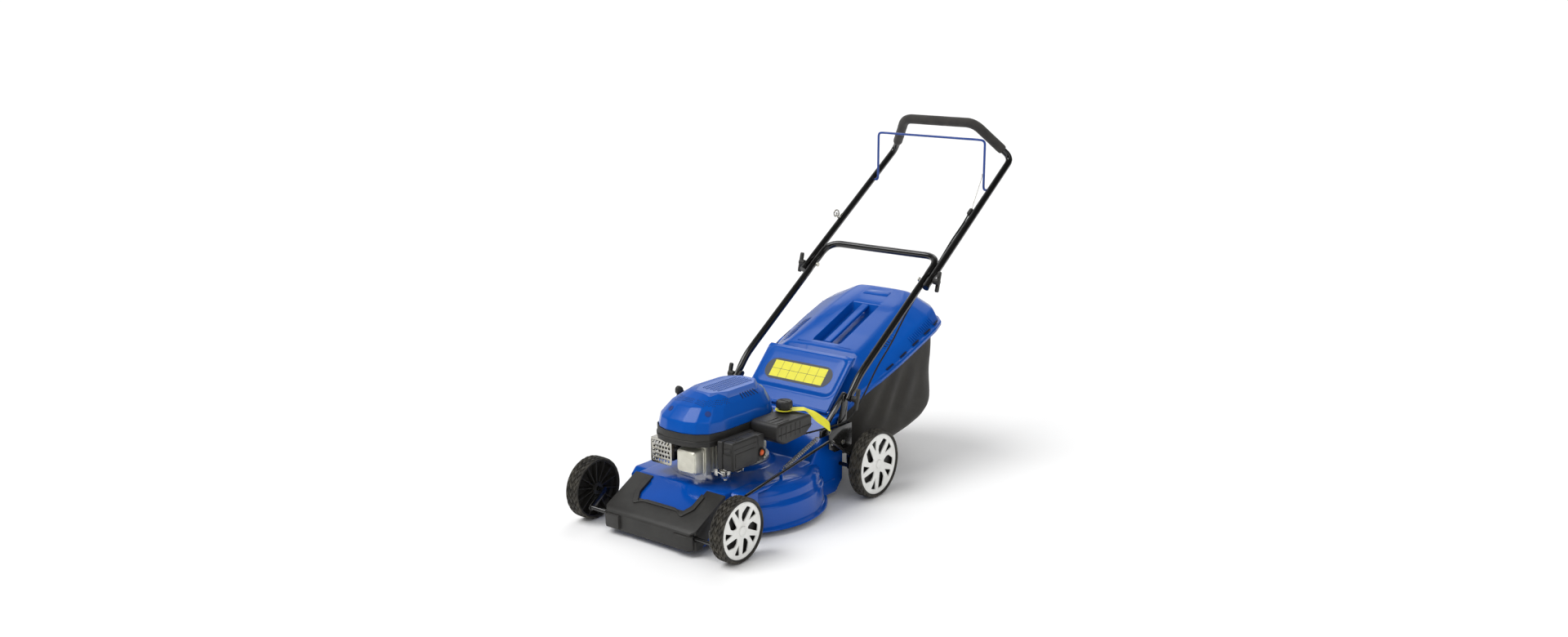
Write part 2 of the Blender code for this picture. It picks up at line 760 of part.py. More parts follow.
def corner_wall(side, drop):
    """The wall that closes a chamfered front corner of the bumper."""
    reach = BUMPER_CORNER - 0.010
    front = BUMPER_FRONT_Y - 0.001 + 0.010
    x_side = BUMPER_HALF_WIDTH
    outline = [
        (side * (x_side - reach + 0.001), BUMPER_FRONT_Y + 0.0005),
        (side * (x_side - 0.0005), front + reach - 0.001),
        (side * (x_side - 0.0035), front + reach + 0.004),
        (side * (x_side - reach - 0.004), BUMPER_FRONT_Y + 0.0035),
    ]
    top = bumper_top(BUMPER_FRONT_Y + 0.004) - drop + 0.002
    return plate("corner_wall", [outline], top - BUMPER_BOTTOM_Z, "Z", (top + BUMPER_BOTTOM_Z) / 2)


def handle_bracket(side, name):
    """A black channel bolted to the deck's flank, with an upright that carries the lower handle."""
    foot_x = CHUTE_HALF_WIDTH + GAP + BRACKET_THICKNESS / 2
    outer = [
        (BRACKET_FRONT_Y, BRACKET_LOW_Z + 0.016),
        (BRACKET_FRONT_Y, BRACKET_HIGH_Z - 0.012),
        (BRACKET_FRONT_Y + 0.012, BRACKET_HIGH_Z),
        (BRACKET_REAR_Y, BRACKET_HIGH_Z),
        (BRACKET_REAR_Y, BRACKET_LOW_Z + 0.004),
        (BRACKET_REAR_Y - 0.020, BRACKET_LOW_Z),
        (BRACKET_FRONT_Y + 0.028, BRACKET_LOW_Z),
    ]
    bracket = plate(name, [outer], BRACKET_THICKNESS, "X", side * BRACKET_PLATE_X)
    web_low = BRACKET_HIGH_Z - BRACKET_THICKNESS
    out_x = BRACKET_PLATE_X
    join(
        bracket,
        box(
            "web",
            (side * CHUTE_HALF_WIDTH + side * GAP, BRACKET_FRONT_Y + 0.016, web_low),
            (side * out_x, BRACKET_REAR_Y - 0.003, BRACKET_HIGH_Z - 0.0002),
        ),
        box(
            "foot",
            (side * (foot_x - BRACKET_THICKNESS / 2), BRACKET_REAR_Y - 0.052, BRACKET_LOW_Z + 0.004),
            (side * (foot_x + BRACKET_THICKNESS / 2), BRACKET_REAR_Y - 0.004, BRACKET_HIGH_Z - 0.001),
        ),
        bracket_upright(side),
        channel(side),
        cylinder(
            "pivot_bolt_head",
            (side * (BRACKET_UPRIGHT_X - 0.0065), LOWER_PIVOT.y, LOWER_PIVOT.z),
            (side * (BRACKET_UPRIGHT_X - 0.0005), LOWER_PIVOT.y, LOWER_PIVOT.z),
            0.0065,
            6,
        ),
    )
    if side == 1:
        x, y, z = SPRING_REAR
        eye_low = (x - 0.002, y + SPRING_END_GAP, z - 0.006)
        eye_high = (x + 0.002, BRACKET_FRONT_Y + 0.025, BRACKET_HIGH_Z - 0.001)
        join(bracket, box("spring_eye", eye_low, eye_high))
    for y, z in ((BRACKET_FRONT_Y + 0.017, 0.190), (BRACKET_FRONT_Y + 0.067, 0.181)):
        head = cylinder(
            "bolt_head",
            (side * (out_x + 0.0010), y, z),
            (side * (out_x + 0.0022), y, z),
            0.0065,
            6,
        )
        join(bracket, head)
    return hold(bracket, "black_paint")


def bracket_upright(side):
    y, z = LOWER_PIVOT.y, LOWER_PIVOT.z
    outline = [
        (y - 0.040, BRACKET_HIGH_Z - 0.002),
        (y + 0.003, BRACKET_HIGH_Z - 0.002),
        *arc((y, z), 0.012, 0, 150, 6),
    ]
    return plate("upright", [outline], BRACKET_THICKNESS, "X", side * BRACKET_UPRIGHT_X)


def channel(side):
    """The ribbed channel that runs on along the handle's slope in front of its pivot."""
    start = (LOWER_PIVOT.y - 0.076, BRACKET_HIGH_Z + 0.018)
    end = (LOWER_PIVOT.y, BRACKET_HIGH_Z + 0.080)
    outline = strip(start, end, 0.014, 4)
    return plate("channel", [outline], 0.010, "X", side * (BRACKET_UPRIGHT_X - 0.006))


# Height adjuster


def crank_arm(name, pivot, axle, side, with_link):
    """A flat arm from the crank's pivot to the wheel's axle, and the link's arm where it has one."""
    heart = (pivot.y, pivot.z)
    x = side * CRANK_ARM_X
    outline = strip(heart, (axle.y, axle.z), CRANK_ARM_WIDTH)
    arm = plate(name, [outline], CRANK_ARM_THICKNESS, "X", x)
    if with_link:
        pin = pivot + LINK_ARM
        pin_end = (side * (LINK_X + LINK_THICKNESS / 2 + 0.002), pin.y, pin.z)
        outline = strip(heart, (pin.y, pin.z), CRANK_ARM_WIDTH * 0.9)
        join(
            arm,
            plate("link_arm", [outline], CRANK_ARM_THICKNESS, "X", x),
            cylinder("link_pin", (x, pin.y, pin.z), pin_end, LINK_PIN_RADIUS, 12),
        )
    return arm


def crank_axle(name, pivot, axle, carrier):
    """A rod across the deck with an arm, a wheel stub and, on the left, the link's arm at its ends."""
    reach = CRANK_ARM_X
    rod = cylinder(name, (-reach, pivot.y, pivot.z), (reach, pivot.y, pivot.z), AXLE_RADIUS, 16)
    stub_end = TRACK_OUTER / 2 - 0.009
    for side in (-1, 1):
        join(
            rod,
            crank_arm("crank_arm", pivot, axle, side, side == 1),
            pivot_pin("stub", axle, side * reach, side * stub_end, AXLE_RADIUS),
        )
    return hold(rod, "black_paint", carrier)


def link_rod(carrier):
    """A rod with an eye at each end, cranked up over the deck between them."""
    front, rear = FRONT_CRANK + LINK_ARM, REAR_CRANK + LINK_ARM
    low, high = LINK_X - LINK_THICKNESS / 2, LINK_X + LINK_THICKNESS / 2
    across = X_AXIS * LINK_X
    corners = [front + across, LINK_BEND_FRONT + across, LINK_BEND_REAR + across, rear + across]
    rod = as_mesh(tube("link_rod", bent(corners, 0.020, 3), 0.0042, 2))
    for place in (front, rear):
        join(rod, cylinder("eye", (low, place.y, place.z), (high, place.y, place.z), 0.0095, 16))
    for place in (front, rear):
        cut(rod, pivot_pin("pin_hole", place, low - 0.01, high + 0.01, LINK_PIN_RADIUS + RUNNING_GAP))
    return hold(rod, "black_paint", carrier)


def lever_point(reach):
    """A point at a distance from the rear crank's pivot, along the lever's lean."""
    lean = math.radians(LEVER_LEAN_DEG)
    return (REAR_CRANK.y - reach * math.sin(lean), REAR_CRANK.z + reach * math.cos(lean))


def lever_strip(name, start, end, width, thickness, x):
    """A flat strip along the lever between two distances from its pivot."""
    return plate(name, [strip(lever_point(start), lever_point(end), width)], thickness, "X", x)


def height_lever(carrier):
    """A bent flat lever on the right-hand end of the rear crank, with a moulded grip."""
    inner_x = -(CRANK_ARM_X + CRANK_ARM_THICKNESS / 2 + GAP + LEVER_THICKNESS / 2)
    jog_low, jog_high = LEVER_JOG_HEIGHT, LEVER_JOG_HEIGHT + 0.008
    low = lever_strip("height_lever", 0, jog_high, LEVER_WIDTH, LEVER_THICKNESS, inner_x)
    high = lever_strip("lever_top", jog_low, LEVER_LENGTH, LEVER_WIDTH, LEVER_THICKNESS, -LEVER_OUTER_X)
    y, z = lever_point((jog_low + jog_high) / 2)
    half = LEVER_WIDTH / 2 - 0.0008
    jog = box("jog", (inner_x, -half, -0.006), (-LEVER_OUTER_X, half, 0.006))
    jog.location = (jog.location.x, y, z)
    jog.rotation_euler = (math.radians(LEVER_LEAN_DEG), 0, 0)
    grip_x = -(LEVER_OUTER_X + 0.002)
    grip = lever_strip("grip", LEVER_LENGTH - 0.040, LEVER_LENGTH + 0.002, 0.020, LEVER_GRIP_WIDTH, grip_x)
    join(low, high, jog, round_edges(grip, 0.002))
    return hold(low, "black_paint", carrier)


def height_quadrant():
    """A notched plate beside the lever, on the right-hand bracket."""
    inner, outer, notch_depth = 0.116, 0.138, 0.006
    first, last, teeth = 52.0, 118.0, 7
    pivot = (REAR_CRANK.y, REAR_CRANK.z)
    rim = []
    span = (last - first) / teeth
    for tooth in range(teeth):
        start = first + tooth * span
        rim += arc(pivot, outer, start, start + 0.55 * span, 1)
        rim += arc(pivot, outer - notch_depth, start + 0.65 * span, start + 0.90 * span, 1)
    inner_arc = arc(pivot, inner, last, first, 8)
    x = -(BRACKET_PLATE_X + BRACKET_THICKNESS / 2 + GAP + QUADRANT_THICKNESS / 2)
    quadrant = plate("height_quadrant", [rim + inner_arc], QUADRANT_THICKNESS, "X", x)
    return hold(quadrant, "bright_steel")


# Wheels


def wheel(prefix, axle, radius, side, carrier):
    """A tyre, the wheel body that carries it, and the spoked trim on its outer face."""
    outer_x = TRACK_OUTER / 2
    mid_x = outer_x - TYRE_WIDTH / 2
    centre = (side * mid_x, axle.y, axle.z)
    out = X_AXIS * side
    half = TYRE_WIDTH / 2
    seat = radius - TYRE_HEIGHT
    # The tread's flats, one of which stands on the ground, lie at the wheel's radius
    tread = radius / math.cos(math.pi / TYRE_STEPS)
    tyre_profile = [
        (seat, half - 0.001),
        (tread - TYRE_SHOULDER, half),
        (tread, half - 0.009),
        (tread, 0.009 - half),
        (tread - TYRE_SHOULDER, -half),
        (seat, 0.001 - half),
    ]
    tyre = turned("tyre_" + prefix, tyre_profile, centre, out, TYRE_STEPS, closed=True)
    band = seat - GAP
    inside = band - RIM_BAND
    bore = AXLE_RADIUS + RUNNING_GAP
    hub_high = half - 0.0085
    rim_profile = [
        (bore, hub_high),
        (HUB_RADIUS, hub_high),
        (HUB_RADIUS, 0.005),
        (inside, 0.005),
        (inside, half - 0.004),
        (band, half - 0.004),
        (band, 0.003 - half),
        (inside, 0.003 - half),
        (inside, 0.001),
        (HUB_RADIUS, 0.001),
        (HUB_RADIUS, 0.001 - half),
        (bore, 0.001 - half),
    ]
    rim = turned("rim_" + prefix, rim_profile, centre, out, TYRE_STEPS, closed=True)
    trim = wheel_trim("trim_" + prefix, axle, inside - GAP, side, outer_x - 0.0045)
    hold(tyre, "black_rubber", carrier)
    hold(rim, "black_plastic", carrier)
    hold(trim, "white_plastic", carrier)


def wheel_trim(name, axle, radius, side, outer_x):
    """A white disc cut into five double spokes, with a domed cap that hides the axle's end."""
    ring = radius - 0.0075
    hub = 0.0175
    outlines = [circle((axle.y, axle.z), radius, TYRE_STEPS)]
    pitch = 360 / TRIM_SPOKES
    for spoke in range(TRIM_SPOKES):
        heading = 90 + spoke * pitch
        outlines.append(spoke_window(axle, heading, hub, ring, pitch))
        outlines.append(between_window(axle, heading + pitch / 2, hub, ring, pitch))
    trim = plate(name, outlines, TRIM_THICKNESS, "X", side * (outer_x - TRIM_THICKNESS / 2))
    face = side * (outer_x - 0.0005)
    cap_end = (side * (outer_x + 0.0035), axle.y, axle.z)
    cap = cylinder("cap", (face, axle.y, axle.z), cap_end, 0.0135, 14, 0.0115)
    return join(trim, cap)


def polar(axle, radius, degrees):
    angle = math.radians(degrees)
    return (axle.y + radius * math.cos(angle), axle.z + radius * math.sin(angle))


def spoke_window(axle, heading, hub, ring, pitch):
    """The slim opening between the two arms of one spoke."""
    fork = hub + 0.45 * (ring - hub)
    return [
        polar(axle, fork, heading),
        polar(axle, ring, heading - 0.16 * pitch),
        polar(axle, ring, heading + 0.16 * pitch),
    ]


def between_window(axle, heading, hub, ring, pitch):
    """The wide opening between two spokes."""
    middle = hub + 0.5 * (ring - hub)
    return [
        polar(axle, hub + 0.004, heading),
        polar(axle, middle, heading - 0.29 * pitch),
        polar(axle, ring, heading - 0.25 * pitch),
        polar(axle, ring, heading),
        polar(axle, ring, heading + 0.25 * pitch),
        polar(axle, middle, heading + 0.29 * pitch),
    ]


# Blade and crankshaft


def rotor(carrier):
    adapter_top = BLADE_Z + BLADE_THICKNESS + GAP + 0.030
    blade_top = BLADE_Z + BLADE_THICKNESS
    shaft_top = (0, 0, CRANKSHAFT_TOP_Z)
    shaft = cylinder("crankshaft", (0, 0, blade_top + 0.006), shaft_top, CRANKSHAFT_RADIUS, 16)
    adapter = turned(
        "blade_adapter",
        [
            (CRANKSHAFT_RADIUS + GAP, adapter_top),
            (0.019, adapter_top),
            (0.019, blade_top + 0.009),
            (0.030, blade_top + 0.006),
            (0.030, blade_top + GAP),
            (0.0060, blade_top + GAP),
            (0.0060, blade_top + 0.006 - GAP),
            (CRANKSHAFT_RADIUS + GAP, blade_top + 0.006 - GAP),
        ],
        (0, 0, 0),
        steps=16,
        closed=True,
    )
    bolt = cylinder("blade_bolt", (0, 0, BLADE_Z - 0.008), (0, 0, BLADE_Z - GAP), 0.010, 6)
    join(bolt, cylinder("bolt_shank", (0, 0, BLADE_Z - 0.002), (0, 0, blade_top + 0.005), 0.0048, 12))
    flywheel = turned(
        "flywheel",
        [
            (CRANKSHAFT_RADIUS + GAP, 0.294),
            (0.026, 0.294),
            (0.030, 0.282),
            (FLYWHEEL_RADIUS - 0.012, 0.282),
            (FLYWHEEL_RADIUS - 0.010, 0.291),
            (FLYWHEEL_RADIUS, 0.291),
            (FLYWHEEL_RADIUS, 0.267),
            (CRANKSHAFT_RADIUS + GAP, 0.267),
        ],
        (0, 0, 0),
        steps=20,
        closed=True,
    )
    hold(shaft, "bright_steel", carrier)
    hold(adapter, "cast_aluminium", carrier)
    hold(blade(carrier), "dark_steel", carrier)
    hold(bolt, "bright_steel", carrier)
    hold(flywheel, "cast_aluminium", carrier)


def blade(carrier):
    half, width = BLADE_HALF_LENGTH, BLADE_WIDTH / 2
    outline = [
        (-half + 0.004, -width),
        (half - 0.045, -width),
        (half - 0.030, -width + 0.006),
        (half, -width + 0.006),
        (half - 0.004, width),
        (0.045 - half, width),
        (0.030 - half, width - 0.006),
        (-half, width - 0.006),
    ]
    middle_z = BLADE_Z + BLADE_THICKNESS / 2
    bar = plate("blade", [outline, circle((0, 0), 0.0055, 12)], BLADE_THICKNESS, "Z", middle_z)
    for end in (-1, 1):
        fin_y = end * (width - 0.0016)
        fin = box(
            "lift_fin",
            (end * (half - 0.070), fin_y - 0.0014, BLADE_Z + 0.001),
            (end * (half - 0.012), fin_y + 0.0014, BLADE_Z + 0.017),
        )
        join(bar, fin)
    return bar


# Engine


def engine_block():
    """Sump, crankcase and finned cylinder as one casting, bored for the crankshaft."""
    seat = ENGINE_SEAT_Z + GAP
    block = turned(
        "engine_block",
        [
            (0, CRANKCASE_TOP_Z),
            (0.050, CRANKCASE_TOP_Z),
            (0.058, 0.248),
            (CRANKCASE_RADIUS, 0.242),
            (CRANKCASE_RADIUS, 0.190),
            (0.088, 0.186),
            (0.088, 0.178),
            (0.082, 0.174),
            (0.082, 0.164),
            (0.096, 0.162),
            (0.096, seat),
            (0, seat),
        ],
        (0, 0, 0),
        steps=24,
    )
    left, right = CYLINDER_X - CYLINDER_HALF_WIDTH, CYLINDER_X + CYLINDER_HALF_WIDTH
    join(
        block,
        box("cylinder", (left + 0.010, CYLINDER_FRONT_Y + 0.004, 0.178), (right - 0.010, -0.04, 0.238)),
        box("head", (left, CYLINDER_FRONT_Y, 0.168), (right, CYLINDER_FRONT_Y + 0.020, 0.248)),
    )
    clamp_low, clamp_high = (0.060, CLAMP_Y - 0.008, 0.204), (CLAMP_OUTER_X, CLAMP_Y + 0.008, 0.220)
    join(block, box("brake_cable_clamp", clamp_low, clamp_high))
    for fin in range(5):
        y = CYLINDER_FRONT_Y + 0.030 + fin * 0.015
        join(block, box("fin", (left, y, 0.170), (right, y + 0.004, 0.246)))
    cut(block, cylinder("bore", (0, 0, 0.1), (0, 0, 0.3), CRANKSHAFT_RADIUS + RUNNING_GAP, 20))
    return hold(block, "cast_aluminium")


def rocker_cover():
    front = CYLINDER_FRONT_Y - GAP
    half = CYLINDER_HALF_WIDTH - 0.003
    rings = []
    for depth, inset in ((0.0, 0.0), (0.018, 0.001), (0.034, 0.008)):
        y = front - depth
        low, high = 0.171 + inset, 0.245 - inset
        x_low, x_high = CYLINDER_X - half + inset, CYLINDER_X + half - inset
        corner = 0.008
        rings.append(
            [
                (x_low + corner, y, low),
                (x_high - corner, y, low),
                (x_high, y, low + corner),
                (x_high, y, high - corner),
                (x_high - corner, y, high),
                (x_low + corner, y, high),
                (x_low, y, high - corner),
                (x_low, y, low + corner),
            ]
        )
    return hold(loft("rocker_cover", rings), "cast_aluminium")


def muffler():
    can = box("muffler", (-0.112, -0.212, 0.178), (-0.052, -0.118, GUARD_TOP_Z - GUARD_WALL - GAP), 0.008)
    port_end = (CYLINDER_X - CYLINDER_HALF_WIDTH - GAP, -0.165, 0.205)
    port = cylinder("exhaust_port", (-0.060, -0.165, 0.205), port_end, 0.011, 12)
    return hold(join(can, port), "dark_steel")


def muffler_guard():
    """A perforated steel hood round the muffler's front and outer side."""
    low, high = Vector((-0.122, -0.226, 0.172)), Vector((-0.044, -0.122, GUARD_TOP_Z))
    wall = GUARD_WALL
    hood = box("muffler_guard", low, high)
    inner_low, inner_high = low + Vector((wall, wall, wall)), high + Vector((0.02, 0.02, -wall))
    cut(hood, box("hood_hollow", inner_low, inner_high))
    for row in range(2):
        for column in range(3):
            x = low.x + 0.018 + column * 0.020
            z = low.z + 0.022 + row * 0.026
            cut(hood, cylinder("hood_hole", (x, low.y - 0.01, z), (x, low.y + 0.01, z), 0.0055, 6))
    return hold(hood, "bright_steel")


def spark_plug_boot():
    """A rubber cap on the plug, which leans out of the cylinder head beside the rocker cover."""
    x, y = CYLINDER_X - CYLINDER_HALF_WIDTH + 0.0015, CYLINDER_FRONT_Y - GAP
    boot_end = (x - 0.028, y - 0.006, 0.226)
    boot = cylinder("spark_plug_boot", (x - 0.0064, y + 0.012, 0.226), boot_end, 0.0068, 12)
    tip_x, tip_y = x - 0.024, y - 0.002
    tip = cylinder("boot_tip", (tip_x, tip_y, 0.218), (tip_x, tip_y, 0.250), 0.0050, 12)
    return hold(join(boot, tip), "black_rubber")


def carburettor():
    low_x, y = CRANKCASE_RADIUS + 0.003, -0.114
    high_x = AIR_BOX_INNER_X - GAP
    head_x = CYLINDER_X + CYLINDER_HALF_WIDTH + GAP
    bowl_x = low_x + 0.010
    block = box("carburettor", (low_x, y - 0.022, 0.186), (high_x, y + 0.022, 0.226), 0.003)
    join(
        block,
        cylinder("float_bowl", (bowl_x, y, 0.160), (bowl_x, y, 0.190), 0.0095, 16),
        cylinder("inlet", (head_x, y, 0.206), (high_x - 0.0036, y, 0.206), 0.014, 16),
    )
    return hold(block, "cast_aluminium")


def air_filter_base():
    """The fixed half of the air cleaner, with a cheek at its rear end that carries the primer."""
    front, rear = AIR_BOX_FRONT_Y, AIR_BOX_REAR_Y
    low, high, outer = AIR_BOX_LOW_Z, AIR_BOX_HIGH_Z, AIR_BOX_OUTER_X
    base = box("air_filter_base", (AIR_BOX_INNER_X, front, low), (AIR_BOX_X, rear, high - 0.001), 0.003)
    cheek_low = (AIR_BOX_X - 0.006, rear - AIR_BOX_CHEEK, low + 0.002)
    cheek_high = (outer - 0.002, rear - 0.0005, high - 0.004)
    join(base, box("cheek", cheek_low, cheek_high, 0.002))
    y, z = primer_place()
    cut(base, cylinder("primer_well", (outer - 0.012, y, z), (outer + 0.01, y, z), 0.0098, 16))
    return hold(base, "black_plastic")


def primer_place():
    return AIR_BOX_REAR_Y - AIR_BOX_CHEEK / 2, AIR_BOX_LOW_Z + 0.026


def air_filter_cover(carrier):
    """A lid over the base's outer face, with a snap clip on its front."""
    front, rear = AIR_BOX_FRONT_Y, AIR_BOX_REAR_Y - AIR_BOX_CHEEK - 2 * GAP
    low, high = (AIR_BOX_X + GAP, front, AIR_BOX_LOW_Z), (AIR_BOX_OUTER_X, rear, AIR_BOX_HIGH_Z)
    cover = box("air_filter_cover", low, high, 0.004)
    clip_low = (AIR_BOX_X + 0.008, front - 0.005, AIR_BOX_HIGH_Z - 0.028)
    clip_high = (AIR_BOX_X + 0.030, front + 0.002, AIR_BOX_HIGH_Z - 0.018)
    join(cover, box("clip", clip_low, clip_high))
    return hold(cover, "black_plastic", carrier)


def primer_bulb(carrier):
    y, z = primer_place()
    x = AIR_BOX_OUTER_X - 0.0075
    bulb = turned(
        "primer_bulb",
        [(0, 0.0095), (0.0045, 0.0085), (0.0080, 0.0050), (0.0092, 0.0), (0, 0.0)],
        (x, y, z),
        X_AXIS,
        16,
    )
    return hold(bulb, "orange_rubber", carrier)


def housing_outline(inset):
    """Round behind the crankshaft and tapering to a blunt front, seen from above."""
    radius = HOUSING_REAR_RADIUS - inset
    side = HOUSING_HALF_WIDTH - inset
    front = HOUSING_FRONT_Y + inset
    half = [
        *arc((0, 0), radius, 90, 0, 7),
        (side, -0.180),
        (side - 0.012, -0.226),
        (side - 0.040, front + 0.012),
        (0.030, front),
    ]
    return mirrored(half)


def blower_housing():
    """A black tray round the flywheel, open upwards, on the crankcase's flange."""
    floor = CRANKCASE_TOP_Z + GAP
    height = HOUSING_TOP_Z - floor
    hollow_z = floor + HOUSING_WALL + height / 2
    tray = plate("blower_housing", [housing_outline(0)], height, "Z", floor + height / 2)
    bore_low, bore_high = (0, 0, floor - 0.01), (0, 0, floor + 0.01)
    cut(
        tray,
        plate("tray_hollow", [housing_outline(HOUSING_WALL)], height, "Z", hollow_z),
        cylinder("tray_bore", bore_low, bore_high, CRANKSHAFT_RADIUS + 0.004, 20),
    )
    join(tray, rope_outlet())
    return hold(tray, "black_plastic")


def rope_outlet():
    """The boss on the housing's right-hand side where the starter rope comes out."""
    x, y, z = ROPE_OUTLET
    low, high = (x - 0.008, y - 0.012, z - 0.029), (0.002 - HOUSING_HALF_WIDTH, y + 0.012, z)
    return box("rope_outlet", low, high, 0.002)


def cowl_ring(height, share, inset=0.0):
    """The housing's outline drawn in towards the cowl's crown, at a height."""
    points = []
    for x, y in housing_outline(0.002):
        reach = Vector((x, y)) - COWL_CROWN
        place = COWL_CROWN + reach * share - reach.normalized() * inset
        points.append((place.x, place.y, height))
    return points


def engine_cowl():
    """A faceted blue shell over the blower housing, rising to a flat top."""
    base, top = HOUSING_TOP_Z + GAP, COWL_TOP_Z
    shell = loft(
        "engine_cowl",
        [
            cowl_ring(base, 0.99),
            cowl_ring(base + 0.030, 0.96),
            cowl_ring(base + 0.064, 0.80),
            cowl_ring(top - 0.003, 0.57),
            cowl_ring(top, 0.54),
        ],
    )
    hollow = loft(
        "cowl_hollow",
        [
            cowl_ring(base - 0.004, 0.99, COWL_WALL),
            cowl_ring(base + 0.028, 0.96, COWL_WALL),
            cowl_ring(base + 0.062, 0.80, COWL_WALL + 0.001),
            cowl_ring(top - COWL_WALL - 0.002, 0.57, COWL_WALL + 0.001),
        ],
    )
    return hold(cut(shell, hollow), "blue_plastic", smooth_deg=20)


def fuel_tank():
    """A moulded tank with sloping ends and a filler neck, on the housing's left-hand flank."""
    low, high = TANK_LOW, TANK_HIGH
    outline = [
        (low.y, low.z + 0.018),
        (low.y, high.z - 0.006),
        (low.y + 0.010, high.z),
        (high.y - 0.014, high.z - 0.002),
        (high.y, high.z - 0.010),
        (high.y, low.z + 0.026),
        (high.y - 0.030, low.z + 0.006),
        (low.y + 0.030, low.z),
    ]
    width = high.x - low.x
    tank = round_edges(plate("fuel_tank", [outline], width, "X", (low.x + high.x) / 2), 0.005)
    x, y = CAP_CENTRE.x, CAP_CENTRE.y
    neck = cylinder("neck", (x, y, high.z - 0.012), (x, y, high.z + NECK_HEIGHT), NECK_RADIUS, 20)
    return hold(join(tank, neck), "black_plastic")


def fuel_cap(carrier):
    low = TANK_HIGH.z + NECK_HEIGHT + GAP
    x, y = CAP_CENTRE.x, CAP_CENTRE.y
    cap = cylinder("fuel_cap", (x, y, low), (x, y, low + CAP_HEIGHT), CAP_RADIUS, 20, CAP_RADIUS - 0.0015)
    return hold(round_edges(cap, 0.002), "black_plastic", carrier)


def hang_tag():
    """A card with a hole for the filler neck, bent down over the tank's corner towards the bracket."""
    heading, droop = math.radians(TAG_HEADING_DEG), math.radians(TAG_DROOP_DEG)
    x, y, z = CAP_CENTRE.x, CAP_CENTRE.y, TANK_HIGH.z + NECK_HEIGHT / 2
    rim, hole = circle((x, y), CAP_RADIUS + 0.003, 16), circle((x, y), NECK_RADIUS + 2 * GAP, 20)
    tag = plate("hang_tag", [rim, hole], TAG_THICKNESS, "Z", z)
    start, fold, half = NECK_RADIUS + 0.003, TAG_FLAT_LENGTH, TAG_THICKNESS / 2
    tip = fold + TAG_DROOP_LENGTH * math.cos(droop)
    drop = TAG_DROOP_LENGTH * math.sin(droop)
    outline = [
        (start, half),
        (fold, half),
        (tip, half - drop),
        (tip, -half - drop),
        (fold - 0.0003, -half),
        (start, -half),
    ]
    tongue = plate("tongue", [outline], TAG_WIDTH, "Y", 0)
    turn = Matrix.Rotation(heading, 4, "Z")
    tongue.matrix_basis = Matrix.Translation((x, y, z)) @ turn @ tongue.matrix_basis
    return hold(join(tag, tongue), "yellow_card")


# Starter


def recoil_grip(carrier):
    """A moulded pull with two finger wings, its long side across the rope."""
    along = pull_direction()
    across = Y_AXIS.cross(along).cross(along).normalized()
    base = RECOIL_REST
    grip = cylinder("recoil_grip", base, base + along * 0.016, 0.0085, 12, 0.0130)
    wing = base + along * 0.020
    wings = tube("grip_bar", [wing - across * 0.026, base + along * 0.016, wing + across * 0.026], 0.0095, 3)
    join(grip, as_mesh(wings))
    return hold(grip, "black_plastic", carrier)


def recoil_rope():
    """The short stretch of starter rope between the housing's boss and the parked grip."""
    start = ROPE_OUTLET + Z_AXIS * GAP
    end = RECOIL_REST - pull_direction() * GAP
    corners = [start, start + Z_AXIS * 0.010, end - pull_direction() * 0.008, end]
    return hold(tube("recoil_rope", smooth_path(corners, 3), ROPE_RADIUS, 1), "white_plastic")


# Handle


def half_and_mirror(half):
    """A path that starts on the left and ends at its mirror point on the right."""
    return [Vector(p) for p in half] + [Vector((-p[0], p[1], p[2])) for p in reversed(half)]


def lower_handle(carrier):
    x = LOWER_TUBE_X
    half = [
        (x, LOWER_PIVOT.y - 0.004, LOWER_PIVOT.z - 0.005),
        (x, LOWER_BEND_Y, handle_z(LOWER_BEND_Y) - 0.004),
        (x, LOWER_BEND_Y + 0.030, handle_z(LOWER_BEND_Y + 0.030)),
        (x, CROSSBAR_Y, CROSSBAR_Z),
    ]
    path = bent(half_and_mirror(half), TUBE_BEND_RADIUS, 4)
    return hold(tube("lower_handle", path, TUBE_RADIUS, 3), "black_paint", carrier)


def loop_path():
    foot = (UPPER_TUBE_X, UPPER_TUBE_END_Y, handle_z(UPPER_TUBE_END_Y))
    return bent(half_and_mirror([foot, HANDLE_TOP, LOOP_CORNER]), LOOP_BEND_RADIUS, LOOP_BEND_STEPS)


def upper_x(y):
    """The upper tubes draw in a little towards the loop."""
    share = (y - UPPER_TUBE_END_Y) / (HANDLE_TOP.y - UPPER_TUBE_END_Y)
    return UPPER_TUBE_X + (HANDLE_TOP.x - UPPER_TUBE_X) * share


def upper_handle(carrier):
    return hold(tube("upper_handle", loop_path(), TUBE_RADIUS, 3), "black_paint", carrier)


def handle_grip(carrier):
    """A foam sleeve over the loop, from just past one bend to just before the other."""
    path = loop_path()
    first = LOOP_BEND_STEPS + 1
    sleeve = as_mesh(tube("handle_grip", path[first:-first], GRIP_RADIUS, 2))
    bore = as_mesh(tube("sleeve_bore", path[first - 1 : len(path) - first + 1], TUBE_RADIUS + 0.001, 2))
    return hold(cut(sleeve, bore), "black_foam", carrier)


def bail(carrier):
    """A wire bow whose feet turn outwards into the tubes, standing up in front of the loop."""
    foot_x = upper_x(BAIL_PIVOT_Y) - TUBE_RADIUS - 2 * GAP
    y, z, top = BAIL_PIVOT.y, BAIL_PIVOT.z, BAIL_PIVOT.z + BAIL_REACH
    kink = 0.006
    half = [
        (foot_x, y, z),
        (BAIL_X, y, z),
        (BAIL_X, y, top),
        (BAIL_X - 0.030, y - kink, top + 0.002),
        (BAIL_X - 0.060, y, top + 0.001),
    ]
    path = bent(half_and_mirror(half), 0.012, 2)
    return hold(tube("bail", path, BAIL_RADIUS, 2), "blue_paint", carrier)


def on_tube(x, y, up=0.0):
    """A point beside the handle's slope, raised square to it."""
    normal = Vector((0, -HANDLE_DIRECTION.z, HANDLE_DIRECTION.y))
    return Vector((x, y, handle_z(y))) + normal * up


